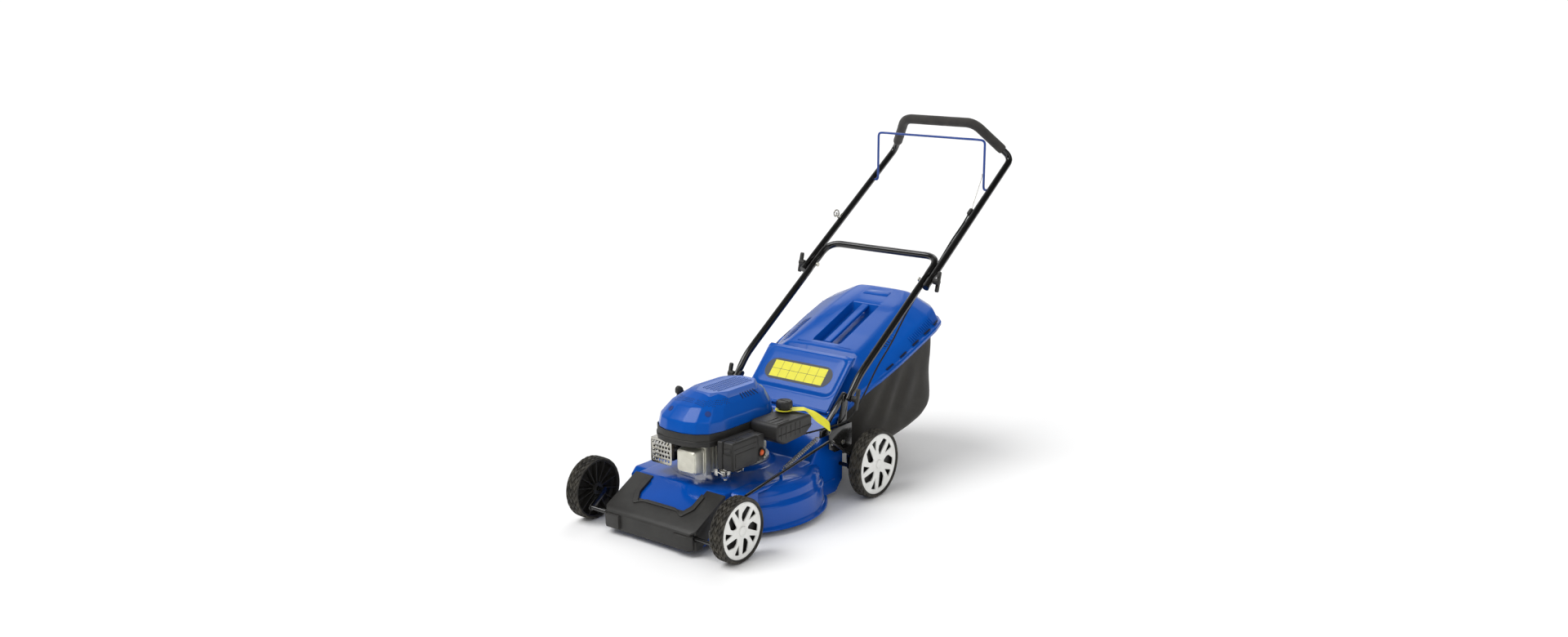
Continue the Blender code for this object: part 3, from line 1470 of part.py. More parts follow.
def wing_knob(name, side, inner_x, pivot, carrier):
    """A two-winged clamping nut with its stud's end against the tube."""
    hub_end = inner_x + 0.020
    y, z = pivot.y, pivot.z
    hub = cylinder(name, (side * inner_x, y, z), (side * hub_end, y, z), 0.0085, 12, 0.0110)
    angle = math.radians(KNOB_LEAN_DEG)
    reach_y, reach_z = KNOB_REACH * math.cos(angle), KNOB_REACH * math.sin(angle)
    outline = strip((y - reach_y, z - reach_z), (y + reach_y, z + reach_z), 0.011, 4)
    wings = plate("wings", [outline], 0.010, "X", side * (hub_end - 0.003))
    return hold(join(hub, wings), "black_plastic", carrier)


def rope_guide(carrier):
    """A bright wire with a pigtail eye, clamped on the right-hand upper tube."""
    root = on_tube(-upper_x(ROPE_GUIDE_Y), ROPE_GUIDE_Y, TUBE_RADIUS + 0.0018)
    radius = 0.0105
    eye = root + Vector((0.004, -0.014, 0.018))
    points = [root + HANDLE_DIRECTION * 0.022, root + HANDLE_DIRECTION * 0.010, root]
    turns, per_turn = 1.25, 8
    for i in range(int(turns * per_turn) + 1):
        angle = FULL_TURN * i / per_turn - math.pi / 2
        lift = -0.0085 * i / per_turn
        points.append(eye + Vector((lift, radius * math.cos(angle), radius * math.sin(angle))))
    return hold(tube("rope_guide", points, GUIDE_WIRE_RADIUS, 1), "bright_steel", carrier)


def cable_stop(carrier):
    """A clip on the inner side of the left-hand upper tube, where the brake cable's sheath ends."""
    place = on_tube(stop_x(), CABLE_STOP_Y)
    half = CABLE_STOP_LENGTH / 2
    clip = box("cable_stop", (-0.0060, -half, -0.0070), (0.0060, half, 0.0090), 0.002)
    clip.location = place
    clip.rotation_euler = (math.atan(HANDLE_SLOPE), 0, 0)
    return hold(clip, "black_plastic", carrier)


# Brake cable


def stop_x():
    return upper_x(CABLE_STOP_Y) - TUBE_RADIUS - 0.0065


def stop_reach():
    """How far along Y from the cable stop's middle the cable and the wire end."""
    return (CABLE_STOP_LENGTH / 2 + GAP) * HANDLE_DIRECTION.y


def brake_wire(carrier):
    """The bare wire from the bail's left arm down to the cable stop."""
    start = Vector((BAIL_X - BAIL_RADIUS - BRAKE_WIRE_RADIUS - GAP, BAIL_PIVOT.y, BAIL_PIVOT.z + 0.045))
    end = on_tube(stop_x(), CABLE_STOP_Y + stop_reach(), 0.004)
    path = [start, (start + end) / 2, end]
    return hold(tube("brake_wire", path, BRAKE_WIRE_RADIUS, 2), "bright_steel", carrier)


def cable_route():
    """The sheathed cable from its stop, down the left-hand tubes and round the tank to the engine brake."""
    web_z = BRACKET_HIGH_Z + CABLE_RADIUS + GAP
    across, foot = LOWER_TUBE_X, LOWER_PIVOT.y
    beside_tubes = [
        (0.0040, 0.608, 0.001),
        (0.0030, 0.553, 0.000),
        (-0.0040, 0.513, -0.012),
        (-0.0070, 0.473, -0.0190),
        (-0.0070, 0.398, -0.0205),
        (-0.0060, 0.298, -0.0260),
        (-0.0020, 0.198, -0.0420),
        (0.0000, 0.118, -0.0480),
    ]
    over_bracket = [
        (0.0000, 0.063, 0.2830),
        (-0.0010, 0.018, 0.2500),
        (-0.0020, -0.017, web_z + 0.001),
        (-0.0040, -0.057, web_z),
        (-0.0120, -0.104, web_z),
        (-0.0470, -0.152, 0.2240),
    ]
    points = [
        on_tube(stop_x(), CABLE_STOP_Y - stop_reach(), 0.002),
        *(on_tube(across + x, foot + y, up) for x, y, up in beside_tubes),
        *(Vector((across + x, foot + y, z)) for x, y, z in over_bracket),
        Vector((0.1200, 0.050, 0.2140)),
        Vector((0.0960, CLAMP_Y, 0.2120)),
        Vector((CLAMP_OUTER_X + GAP, CLAMP_Y, 0.2120)),
    ]
    return smooth_path(points, CABLE_SPAN_POINTS)


def cable_stretch(first, last):
    """One stretch of the cable, cut in the middle of its first and last steps with a gap to the next."""
    route = cable_route()
    start, end = first * CABLE_SPAN_POINTS, last * CABLE_SPAN_POINTS
    path = route[start + 1 : end + 1] if first else route[: end + 1]
    if first:
        step = route[start + 1] - route[start]
        path = [route[start] + step * 0.5 + step.normalized() * GAP / 2, *path]
    if last * CABLE_SPAN_POINTS < len(route) - 1:
        step = route[end + 1] - route[end]
        path = [*path, route[end] + step * 0.5 - step.normalized() * GAP / 2]
    return path


def brake_cable(name, first, last, carrier=None):
    return hold(tube(name, cable_stretch(first, last), CABLE_RADIUS, 1), "black_plastic", carrier)


# Lift spring


def spring_points():
    """The spring's wire: a straight run, the curls, and a straight run, along one line."""
    along = (SPRING_REAR - SPRING_FRONT).normalized()
    side = X_AXIS
    up = along.cross(side).normalized()
    start, end = SPRING_FRONT + along * 0.012, SPRING_REAR - along * 0.012
    count = SPRING_CURLS * CURL_POINTS
    coil = []
    for i in range(count + 1):
        angle = FULL_TURN * i / CURL_POINTS
        centre = start.lerp(end, i / count)
        coil.append(centre + (side * math.cos(angle) + up * math.sin(angle)) * SPRING_RADIUS)
    return [SPRING_FRONT, SPRING_FRONT + along * 0.006, *coil, SPRING_REAR - along * 0.006, SPRING_REAR]


def least_gap(points, radius, apart):
    """The least space between stretches of a wire that lie at least this many points apart."""
    gaps = [
        (points[i] - points[j]).length
        for i in range(len(points))
        for j in range(i + apart, min(i + 2 * CURL_POINTS, len(points)))
    ]
    return min(gaps) - 2 * radius


def lift_spring():
    points = spring_points()
    gap_mm = 1000 * least_gap(points, SPRING_WIRE_RADIUS, CURL_POINTS - 1)
    print(f"lift_spring: least gap {gap_mm:.2f} mm")
    return hold(tube("lift_spring", points, SPRING_WIRE_RADIUS, 1), "bright_steel")


# Flap and bag


def rear_flap(carrier):
    """The hinged flap over the discharge tunnel, which rests on the bag's lid."""
    slope = math.radians(FLAP_SLOPE_DEG)
    along = Vector((0, math.cos(slope), math.sin(slope)))
    above = Vector((0, -math.sin(slope), math.cos(slope)))
    outline = []
    for u, v in (
        (0.0, -0.0040),
        (FLAP_LENGTH - 0.010, -0.0040 + 0.008),
        (FLAP_LENGTH, 0.0),
        (FLAP_LENGTH + 0.002, 0.006),
        (FLAP_LENGTH - 0.012, 0.010 + FLAP_THICKNESS),
        (0.012, FLAP_THICKNESS),
        (0.0, 0.0045),
    ):
        point = FLAP_HINGE + along * u + above * v
        outline.append((point.y, point.z))
    flap = plate("rear_flap", [outline], 2 * FLAP_HALF_WIDTH, "X", 0)
    join(
        flap,
        pivot_pin("barrel", FLAP_HINGE, -FLAP_HALF_WIDTH, FLAP_HALF_WIDTH, 0.0050),
        pivot_pin("hinge_pin", FLAP_HINGE, -FLAP_HALF_WIDTH - 0.0085, FLAP_HALF_WIDTH + 0.0085, 0.0020),
    )
    return hold(flap, "blue_plastic", carrier)


def lid_stations():
    """From the chute's rear face and side: y, then x and height of the rim, the shoulder and the crown."""
    sections = [
        (0.0004, (-0.038, 0.2330), (-0.050, 0.2380), (-0.088, 0.2440)),
        (0.0360, (-0.016, 0.2500), (-0.036, 0.2620), (-0.078, 0.2800)),
        (0.0810, (0.008, 0.2890), (-0.016, 0.3020), (-0.068, 0.3270)),
        (0.1240, (0.028, 0.3180), (-0.002, 0.3360), (-0.058, 0.3660)),
        (0.1460, (0.036, 0.3290), (0.002, 0.3540), (-0.058, 0.3940)),
        (0.2360, (0.046, 0.3640), (0.010, 0.3920), (-0.063, 0.4280)),
        (0.3560, (0.048, 0.4060), (0.012, 0.4380), (-0.073, 0.4760)),
        (0.4360, (0.046, 0.4320), (0.012, 0.4660), (-0.083, 0.5060)),
        (0.4840, (0.034, 0.4440), (0.002, 0.4800), (-0.096, 0.5240)),
        (0.5180, (0.002, 0.4480), (-0.028, 0.4820), (-0.106, 0.5140)),
        (0.5360, (-0.048, 0.4480), (-0.068, 0.4680), (-0.118, 0.4860)),
    ]
    side, rear = CHUTE_HALF_WIDTH, CHUTE_REAR_Y
    return [(rear + y, *((side + x, z) for x, z in section)) for y, *section in sections]


def bag_lid(carrier):
    """A rigid shell over the bag, with a carrying bar across a deep recess."""
    rings = []
    for y, (rim_x, rim_z), (shoulder_x, shoulder_z), (crown_x, crown_z) in lid_stations():
        half = [
            (0, y, crown_z + 0.002),
            (crown_x, y, crown_z),
            (shoulder_x, y, shoulder_z),
            (rim_x - 0.004, y, rim_z + 0.003),
            (rim_x, y, rim_z),
            (rim_x, y, rim_z - 0.010),
        ]
        rings.append(half_ring(half))
    shell = open_loft("bag_lid", rings)
    thick = shell.modifiers.new("wall", "SOLIDIFY")
    thick.thickness = BAG_WALL
    thick.offset = -1
    return hold(add_recess(shell), "blue_plastic", carrier, smooth_deg=25)


def half_ring(half):
    """The points of an open section from the right rim over the ridge to the left rim."""
    return [(-x, y, z) for x, y, z in reversed(half[1:])] + half


def open_loft(name, rings):
    """An open surface through sections, facing up."""

    def build(work):
        rows = [[work.verts.new(point) for point in ring] for ring in rings]
        for row, following in zip(rows, rows[1:]):
            for i in range(len(row) - 1):
                work.faces.new((row[i], row[i + 1], following[i + 1], following[i]))
        work.faces.ensure_lookup_table()
        top = max(work.faces, key=lambda face: face.calc_center_median().z)
        top.normal_update()
        if top.normal.z < 0:
            bmesh.ops.reverse_faces(work, faces=work.faces)

    return add(name, mesh_of(name, build))


def lid_ridge(y):
    stations = lid_stations()
    for a, b in zip(stations, stations[1:]):
        if a[0] <= y <= b[0]:
            return a[3][1] + (b[3][1] - a[3][1]) * (y - a[0]) / (b[0] - a[0])
    return stations[-1][3][1]


def add_recess(shell):
    """A tray let into the ridge, and a bar along its middle with finger room on both sides."""
    front, rear = RECESS_FRONT_Y, RECESS_REAR_Y
    half, depth = RECESS_HALF_WIDTH, RECESS_DEPTH

    def slab(name, inset, top, bottom):
        a, b = front + inset, rear - inset
        outline = [
            (a, lid_ridge(a) + top),
            (b, lid_ridge(b) + top),
            (b, lid_ridge(b) + bottom),
            (a, lid_ridge(a) + bottom),
        ]
        return plate(name, [outline], 2 * (half - inset), "X", 0)

    outer = slab("recess_outer", 0.0, -0.0015, -depth)
    inner = slab("recess_inner", BAG_WALL, 0.02, BAG_WALL - depth)
    a, b = front + 0.001, rear - 0.001
    bar_outline = [
        (a, lid_ridge(a) - 0.0020),
        (b, lid_ridge(b) - 0.0020),
        (b, lid_ridge(b) - 0.0120),
        (a, lid_ridge(a) - 0.0120),
    ]
    bar = plate("carry_bar", [bar_outline], 0.026, "X", 0)
    join(shell, outer)
    cut(shell, inner)
    return join(shell, round_edges(bar, 0.003))


def bag_body(carrier):
    """The fabric tub, open at the top under the lid and at the front to the tunnel."""
    stations = tub_stations()
    rings = [tub_ring(*station) for station in stations]
    hollow = []
    for index, (y, half, low, high) in enumerate(stations):
        shift = {0: -0.01, len(stations) - 1: -BAG_WALL}.get(index, 0.0)
        hollow.append(tub_ring(y + shift, half - BAG_WALL, low + BAG_WALL, high + 0.02))
    tub = loft("bag_body", rings)
    return hold(cut(tub, loft("tub_hollow", hollow)), "black_fabric", carrier)


def tub_stations():
    """From the chute's rear face and side: y, x, bottom height and top height, which follows the rim."""
    sections = [
        (0.0004, -0.042, 0.1240, 0.2225),
        (0.0360, -0.022, 0.1080, 0.2395),
        (0.0810, -0.002, 0.1020, 0.2785),
        (0.1460, 0.010, 0.0980, 0.3180),
        (0.2660, 0.013, 0.1080, 0.3635),
        (0.3560, 0.012, 0.1200, 0.3950),
        (0.4360, 0.008, 0.1360, 0.4210),
        (0.4880, -0.004, 0.1520, 0.4330),
        (0.5200, -0.028, 0.1720, 0.4370),
        (0.5300, -0.052, 0.2000, 0.4370),
    ]
    return [(CHUTE_REAR_Y + y, CHUTE_HALF_WIDTH + x, low, high) for y, x, low, high in sections]


def tub_ring(y, half, low, high):
    corner = min(0.030, (high - low) * 0.3)
    return [
        (half, y, high),
        (-half, y, high),
        (-half, y, low + corner),
        (-half + 0.4 * corner, y, low + 0.3 * corner),
        (-half + corner, y, low),
        (half - corner, y, low),
        (half - 0.4 * corner, y, low + 0.3 * corner),
        (half, y, low + corner),
    ]


def build_running_gear():
    front = body("front_crank", FRONT_CRANK)
    rear = body("rear_crank", REAR_CRANK)
    crank_axle("front_axle", FRONT_CRANK, FRONT_AXLE, front)
    crank_axle("rear_axle", REAR_CRANK, REAR_AXLE, rear)
    height_lever(rear)
    height_quadrant()
    link_rod(body("link", REAR_CRANK + LINK_ARM))
    for side, hand in ((1, "left"), (-1, "right")):
        front_axis = body("wheel_front_" + hand, FRONT_AXLE)
        rear_axis = body("wheel_rear_" + hand, REAR_AXLE)
        wheel("front_" + hand, FRONT_AXLE, FRONT_WHEEL_RADIUS, side, front_axis)
        wheel("rear_" + hand, REAR_AXLE, REAR_WHEEL_RADIUS, side, rear_axis)


def build_engine():
    rotor(body("rotor", (0, 0, BLADE_Z)))
    engine_block()
    rocker_cover()
    muffler()
    muffler_guard()
    spark_plug_boot()
    carburettor()
    air_filter_base()
    air_filter_cover(body("air_filter_cover", (AIR_BOX_X, AIR_BOX_FRONT_Y, AIR_BOX_LOW_Z)))
    primer_bulb(body("primer", (AIR_BOX_OUTER_X, *primer_place())))
    blower_housing()
    engine_cowl()
    fuel_tank()
    fuel_cap(body("fuel_cap", CAP_CENTRE))
    hang_tag()
    recoil_grip(body("recoil", RECOIL_REST))
    recoil_rope()


def build_handle():
    lower = body("lower_handle", LOWER_PIVOT)
    upper = body("upper_handle", UPPER_PIVOT)
    lower_handle(lower)
    brake_cable("brake_cable_lower", CABLE_SPLIT_UPPER, CABLE_SPLIT_LOWER, lower)
    upper_handle(upper)
    handle_grip(upper)
    rope_guide(upper)
    cable_stop(upper)
    brake_cable("brake_cable_upper", 0, CABLE_SPLIT_UPPER, upper)
    brake_wire(upper)
    bail(body("bail", BAIL_PIVOT))
    for side, hand in ((1, "left"), (-1, "right")):
        low_x = LOWER_TUBE_X + TUBE_RADIUS + GAP
        high_x = UPPER_TUBE_X + TUBE_RADIUS + GAP
        low_axis = body("lower_knob_" + hand, LOWER_PIVOT)
        high_axis = body("upper_knob_" + hand, UPPER_PIVOT)
        wing_knob("lower_knob_" + hand, side, low_x, LOWER_PIVOT, low_axis)
        wing_knob("upper_knob_" + hand, side, high_x, UPPER_PIVOT, high_axis)


def main():
    deck()
    front_bumper()
    handle_bracket(1, "handle_bracket_left")
    handle_bracket(-1, "handle_bracket_right")
    build_running_gear()
    build_engine()
    build_handle()
    brake_cable("brake_cable_engine", CABLE_SPLIT_LOWER, CABLE_LAST)
    lift_spring()
    rear_flap(body("rear_flap", FLAP_HINGE))
    bag = body("bag", (0, BAG_FRONT_Y, BRACKET_HIGH_Z))
    bag_lid(bag)
    bag_body(bag)


main()
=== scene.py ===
"""Looks of a petrol lawn mower with a rear grass bag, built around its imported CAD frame.

Lengths are metres. Places in the code are measured from the middle of the wheelbase on the ground, with
-Y forward and +X the mower's left-hand side, and `piece` shifts them into the frame of the CAD.
"""
import json
import math

import bmesh
import bpy
import numpy as np
from mathutils import Matrix, Vector

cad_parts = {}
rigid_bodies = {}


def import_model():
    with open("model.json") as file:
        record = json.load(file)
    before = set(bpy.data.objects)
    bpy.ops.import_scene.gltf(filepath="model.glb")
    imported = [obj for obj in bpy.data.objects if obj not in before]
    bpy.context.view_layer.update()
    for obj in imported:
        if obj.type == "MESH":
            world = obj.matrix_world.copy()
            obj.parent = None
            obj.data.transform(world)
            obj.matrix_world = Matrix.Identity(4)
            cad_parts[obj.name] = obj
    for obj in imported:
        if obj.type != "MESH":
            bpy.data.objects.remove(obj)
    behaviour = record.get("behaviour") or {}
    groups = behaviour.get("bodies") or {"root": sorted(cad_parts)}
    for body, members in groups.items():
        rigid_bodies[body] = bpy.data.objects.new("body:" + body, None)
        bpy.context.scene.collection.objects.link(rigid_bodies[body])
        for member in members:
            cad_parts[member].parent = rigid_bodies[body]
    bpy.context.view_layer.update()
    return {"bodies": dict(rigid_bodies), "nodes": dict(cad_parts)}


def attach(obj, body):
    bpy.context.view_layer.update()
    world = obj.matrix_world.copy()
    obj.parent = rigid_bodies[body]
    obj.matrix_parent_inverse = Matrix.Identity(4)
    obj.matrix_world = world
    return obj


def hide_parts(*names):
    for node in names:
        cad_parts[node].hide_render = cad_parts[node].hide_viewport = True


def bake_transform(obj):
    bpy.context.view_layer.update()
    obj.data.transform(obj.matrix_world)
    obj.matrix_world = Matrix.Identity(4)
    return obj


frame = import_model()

bl_info = {
    "name": "Lawn mower looks",
    "version": (1, 0, 0),
    "blender": (4, 5, 0),
    "location": "View3D > Sidebar > Mower",
    "description": "Builds the visible pieces, materials and stage of a lawn mower around its CAD frame",
    "category": "Object",
}

MIDDLE = np.array((0.0, -0.3724, 0.0))
MM = 0.001
TURN = 2 * math.pi

# Camera, solved from the photograph: place, heading, dip and angle of view
CAMERA_PLACE = (2.51, -3.3724, 1.474)
CAMERA_HEADING_DEG = 37.89
CAMERA_DIP_DEG = 13.17
CAMERA_LENS_MM = 32.67
SENSOR_MM = 36.0

# Running gear
WHEEL_OUTER_X = 0.2875
TYRE_WIDTH = 0.045
TYRE_HEIGHT = 0.0075
AXLES = {
    "front_left": (1, -0.3155, 0.0889),
    "front_right": (-1, -0.3155, 0.0889),
    "rear_left": (1, 0.3155, 0.1016),
    "rear_right": (-1, 0.3155, 0.1016),
}

# Deck
DECK_RADIUS = 0.266
DECK_WALL = 0.0022
NOSE_FRONT_Y = -0.343
CHUTE_HALF = 0.188
CHUTE_REAR_Y = 0.264

# Handle: both tubes lie on one slope in side view
TUBE_RADIUS = 0.011
HANDLE_SLOPE = 0.67
CROSSBAR = (0.742, 0.649)
LOWER_X = 0.212
LOWER_PIVOT = (0.262, 0.303)
UPPER_PIVOT_Y = 0.655
UPPER_FOOT = (0.235, 0.628)
HANDLE_TOP = (0.228, 1.150, 0.921)
LOOP_CORNER = (0.134, 1.063, 1.037)
BAIL_X = 0.206
BAIL_PIVOT_Y = 1.012
ROPE_GUIDE_Y = 0.830
CABLE_STOP_Y = 0.920
STOP_HALF = 0.0134

# Places that two pieces share: the flap's hinge in side view, and the fuel filler in plan
FLAP_HINGE = (0.229, 0.2565)
FILLER = (0.136, 0.052)


# Numbers and places


def linear(hex_colour):
    """An sRGB hex colour as linear red, green and blue."""
    channels = np.array([int(hex_colour[i : i + 2], 16) for i in (1, 3, 5)]) / 255
    return tuple(np.where(channels <= 0.04045, channels / 12.92, ((channels + 0.055) / 1.055) ** 2.4))


def unit(vectors):
    """Vectors at length one."""
    return vectors / np.maximum(np.linalg.norm(vectors, axis=-1, keepdims=True), 1e-12)


def step(value, low, high):
    """0 below low, 1 above high and smooth between."""
    share = np.clip((value - low) / (high - low), 0, 1)
    return share * share * (3 - 2 * share)


def handle_z(y):
    """The height of the handle's slope."""
    return CROSSBAR[1] + HANDLE_SLOPE * (y - CROSSBAR[0])


def upper_x(y):
    """How far out the upper tube is: it draws in a little towards its top."""
    share = (y - UPPER_FOOT[1]) / (HANDLE_TOP[1] - UPPER_FOOT[1])
    return UPPER_FOOT[0] + (HANDLE_TOP[0] - UPPER_FOOT[0]) * share


def on_tube(x, y, up=0.0):
    """A point beside the handle's slope, raised square to it."""
    along = unit(np.array((0, 1, HANDLE_SLOPE)))
    return np.array((x, y, handle_z(y))) + np.array((0, -along[2], along[1])) * up


def in_row(points):
    """Places from the wheelbase's middle as places in the CAD's frame."""
    return np.asarray(points, float) + MIDDLE


# Surfaces. A part is its vertices and its faces, and a piece is one or more parts.


def surface(net, wrap_rows=False, wrap_columns=False, caps=False):
    """The quads of a net of points (rows, columns, 3); caps closes its first and last row."""
    net = np.asarray(net, float)
    rows, columns = net.shape[:2]
    index = np.arange(rows * columns).reshape(rows, columns)
    around = np.vstack([index, index[:1]]) if wrap_rows else index
    around = np.hstack([around, around[:, :1]]) if wrap_columns else around
    corners = [around[:-1, :-1], around[:-1, 1:], around[1:, 1:], around[1:, :-1]]
    faces = np.stack(corners, -1).reshape(-1, 4).tolist()
    if caps:
        faces += [index[0][::-1].tolist(), index[-1].tolist()]
    return net.reshape(-1, 3), faces


def soften(net, distance, steps=5, closed=False):
    """Each corner of every row becomes a short parabola that starts and ends `distance` from it."""
    net = np.asarray(net, float)
    before, after = np.roll(net, 1, -2), np.roll(net, -1, -2)
    reach = np.broadcast_to(np.asarray(distance, float).reshape(-1, 1), (net.shape[-2], 1))

    def towards(other):
        gap = np.linalg.norm(other - net, axis=-1, keepdims=True)
        return net + (other - net) * np.minimum(reach / np.maximum(gap, 1e-9), 0.48)

    a, b = towards(before)[..., None, :], towards(after)[..., None, :]
    t = np.linspace(0, 1, steps)[:, None]
    curve = (1 - t) ** 2 * a + 2 * t * (1 - t) * net[..., None, :] + t**2 * b
    if closed:
        return curve.reshape(*net.shape[:-2], -1, 3)
    middle = curve[..., 1:-1, :, :].reshape(*net.shape[:-2], -1, 3)
    return np.concatenate([net[..., :1, :], middle, net[..., -1:, :]], axis=-2)


def bent(points, radius, steps=10):
    """One line with its corners rounded."""
    return soften([points], radius, steps)[0]


def bent_loop(points, radius, steps):
    """One closed line with its corners rounded."""
    return soften([points], radius, steps, closed=True)[0]


def soften_rows(net, distance, steps=5):
    """Rounds a net's corners from row to row."""
    return np.swapaxes(soften(np.swapaxes(net, 0, 1), distance, steps), 0, 1)


def mirrored(half):
    """A line from its left half, which starts at the left end."""
    return np.array([*half, *[(-x, y, z) for x, y, z in half[::-1]]])


def spline(points, per_span=6):
    """A smooth curve through points, each span bending by its neighbours' chords."""
    points = np.asarray(points, float)
    padded = np.vstack([2 * points[0] - points[1], points, 2 * points[-1] - points[-2]])
    a, b, c, d = padded[:-3, None], padded[1:-2, None], padded[2:-1, None], padded[3:, None]
    t = (np.arange(per_span) / per_span)[None, :, None]
    curve = 0.5 * (2 * b + (c - a) * t + (2 * a - 5 * b + 4 * c - d) * t**2 + (3 * b - a - 3 * c + d) * t**3)
    return np.vstack([curve.reshape(-1, 3), points[-1:]])


def resample(path, spacing):
    """A path's points set evenly along its length."""
    path = np.asarray(path, float)
    length = np.concatenate([[0], np.cumsum(np.linalg.norm(np.diff(path, axis=0), axis=1))])
    places = np.linspace(0, length[-1], max(int(length[-1] / spacing), 2) + 1)
    return np.stack([np.interp(places, length, path[:, k]) for k in range(3)], 1)


def sweep(path, radius, sides=20, across=(0.0, 0.0, 1.0), closed=False):
    """A tube round a path; radius is one number, one a point, or two half axes a point."""
    path = np.asarray(path, float)
    if closed:
        along = unit(np.roll(path, -1, 0) - np.roll(path, 1, 0))
    else:
        along = unit(np.gradient(path, axis=0))
    first = unit(np.cross(along, np.asarray(across, float)))
    second = np.cross(first, along)
    radius = np.asarray(radius, float)
    size = np.broadcast_to(radius if radius.ndim == 2 else radius.reshape(-1, 1), (len(path), 2))
    turn = np.arange(sides) * TURN / sides
    ring = np.cos(turn)[None, :, None] * (first * size[:, :1])[:, None]
    ring = ring + np.sin(turn)[None, :, None] * (second * size[:, 1:])[:, None]
    return surface(path[:, None] + ring, wrap_rows=closed, wrap_columns=True, caps=not closed)


def domed(path, radius, sides):
    """A tube whose two ends are rounded over."""
    path = np.asarray(path, float)
    turn = np.linspace(0, math.pi / 2, 5)[1:]
    start, end = unit(path[0] - path[1]), unit(path[-1] - path[-2])
    reach = radius * 0.7
    body = path[0] - start * reach, path[-1] - end * reach
    head = body[0] + start * (np.sin(turn) * reach)[::-1, None]
    tail = body[1] + end * (np.sin(turn) * reach)[:, None]
    line = np.vstack([head, body[0][None], path[1:-1], body[1][None], tail])
    edge = np.maximum(np.cos(turn), 0.12) * radius
    size = np.concatenate([edge[::-1], np.full(len(path), radius), edge])
    return sweep(line, size, sides)


def lathe(profile, centre, axis="X", steps=64, side=1, closed=True, lobes=0, lobe_depth=0.0):
    """A profile of (radius, height) turned about an axis, its radius waved by lobes where given."""
    profile = np.asarray(profile, float)
    turn = np.arange(steps) * TURN / steps
    radius = profile[:, :1] + lobe_depth * np.cos(lobes * turn)[None] * (profile[:, :1] > 1e-5)
    height = profile[:, 1:] * side + 0 * turn[None]
    u, v = radius * np.cos(turn), radius * np.sin(turn)
    order = {"X": (height, u, v), "Y": (u, height, v), "Z": (u, v, height)}[axis]
    return surface(np.stack(order, -1) + np.asarray(centre, float), wrap_rows=closed, wrap_columns=True)


def spun(profile, centre, axis, steps, side=1, **lobes):
    """A lathe whose profile is open because it ends on the axis."""
    return lathe(profile, centre, axis, steps, side, closed=False, **lobes)


def bolt(radius, top_radius, heights, place, axis="Z"):
    """A hexagonal head: up from its foot to its shoulder, and in to its top."""
    foot, shoulder, top = heights
    profile = [(0, foot), (radius, foot), (radius, shoulder), (top_radius, top), (0, top)]
    return spun(profile, place, axis, 6)


def plate(outlines, thickness, axis="X", at=0.0, edge=0.5 * MM):
    """A flat plate with rounded rims; the first outline is its border and the others are holes in it."""
    data = bpy.data.curves.new("outline", "CURVE")
    data.dimensions, data.fill_mode = "2D", "BOTH"
    data.extrude, data.bevel_depth, data.bevel_resolution = thickness / 2 - edge, edge, 2
    data.offset = -edge
    for number, outline in enumerate(outlines):
        points = np.asarray(outline, float)
        area = np.sum(points[:, 0] * np.roll(points[:, 1], -1) - np.roll(points[:, 0], -1) * points[:, 1])
        points = points[::-1] if (area > 0) == (number > 0) else points
        line = data.splines.new("POLY")
        line.points.add(len(points) - 1)
        line.points.foreach_set("co", np.c_[points, np.zeros(len(points)), np.ones(len(points))].ravel())
        line.use_cyclic_u = True
    holder = bpy.data.objects.new("outline", data)
    bpy.context.scene.collection.objects.link(holder)
    mesh = bpy.data.meshes.new_from_object(holder.evaluated_get(bpy.context.evaluated_depsgraph_get()))
    vertices, faces = arrays(mesh)
    bpy.data.objects.remove(holder)
    bpy.data.meshes.remove(mesh)
    order = {"X": (2, 0, 1), "Y": (0, 2, 1), "Z": (0, 1, 2)}[axis]
    place = {"X": (at, 0, 0), "Y": (0, at, 0), "Z": (0, 0, at)}[axis]
    return vertices[:, order] + np.array(place), faces


def arrays(mesh):
    """A mesh's vertices and faces."""
    vertices = np.empty(len(mesh.vertices) * 3)
    mesh.vertices.foreach_get("co", vertices)
    return vertices.reshape(-1, 3), [list(face.vertices) for face in mesh.polygons]


def block(low, high, edge=1.0 * MM, steps=3):
    """A box with rounded edges."""
    work = bmesh.new()
    bmesh.ops.create_cube(work, size=1)
    low, high = np.array(low, float), np.array(high, float)
    size, middle = np.abs(high - low), (low + high) / 2
    bmesh.ops.scale(work, vec=size.tolist(), verts=work.verts)
    bmesh.ops.bevel(work, geom=work.edges[:], offset=edge, segments=steps, profile=0.5, affect="EDGES")
    mesh = bpy.data.meshes.new("block")
    work.to_mesh(mesh)
    work.free()
    vertices, faces = arrays(mesh)
    bpy.data.meshes.remove(mesh)
    return vertices + middle, faces


def turned(part, matrix):
    """A part with its vertices moved by a 4 x 4 matrix."""
    vertices, faces = part
    return np.c_[vertices, np.ones(len(vertices))] @ np.array(matrix).T[:, :3], faces


def circle(centre, radius, steps):
    """The outline of a circle."""
    turn = np.arange(steps) * TURN / steps
    return np.stack([centre[0] + radius * np.cos(turn), centre[1] + radius * np.sin(turn)], 1)


def stadium(start, end, width, steps=8):
    """The outline of a slot with round ends between two points."""
    start, end = np.array(start, float), np.array(end, float)
    heading = math.atan2(*(end - start)[::-1])
    turn = heading + np.linspace(-math.pi / 2, math.pi / 2, steps)
    cap = np.stack([np.cos(turn), np.sin(turn)], 1) * width / 2
    return np.vstack([end + cap, start - cap])


# Pieces


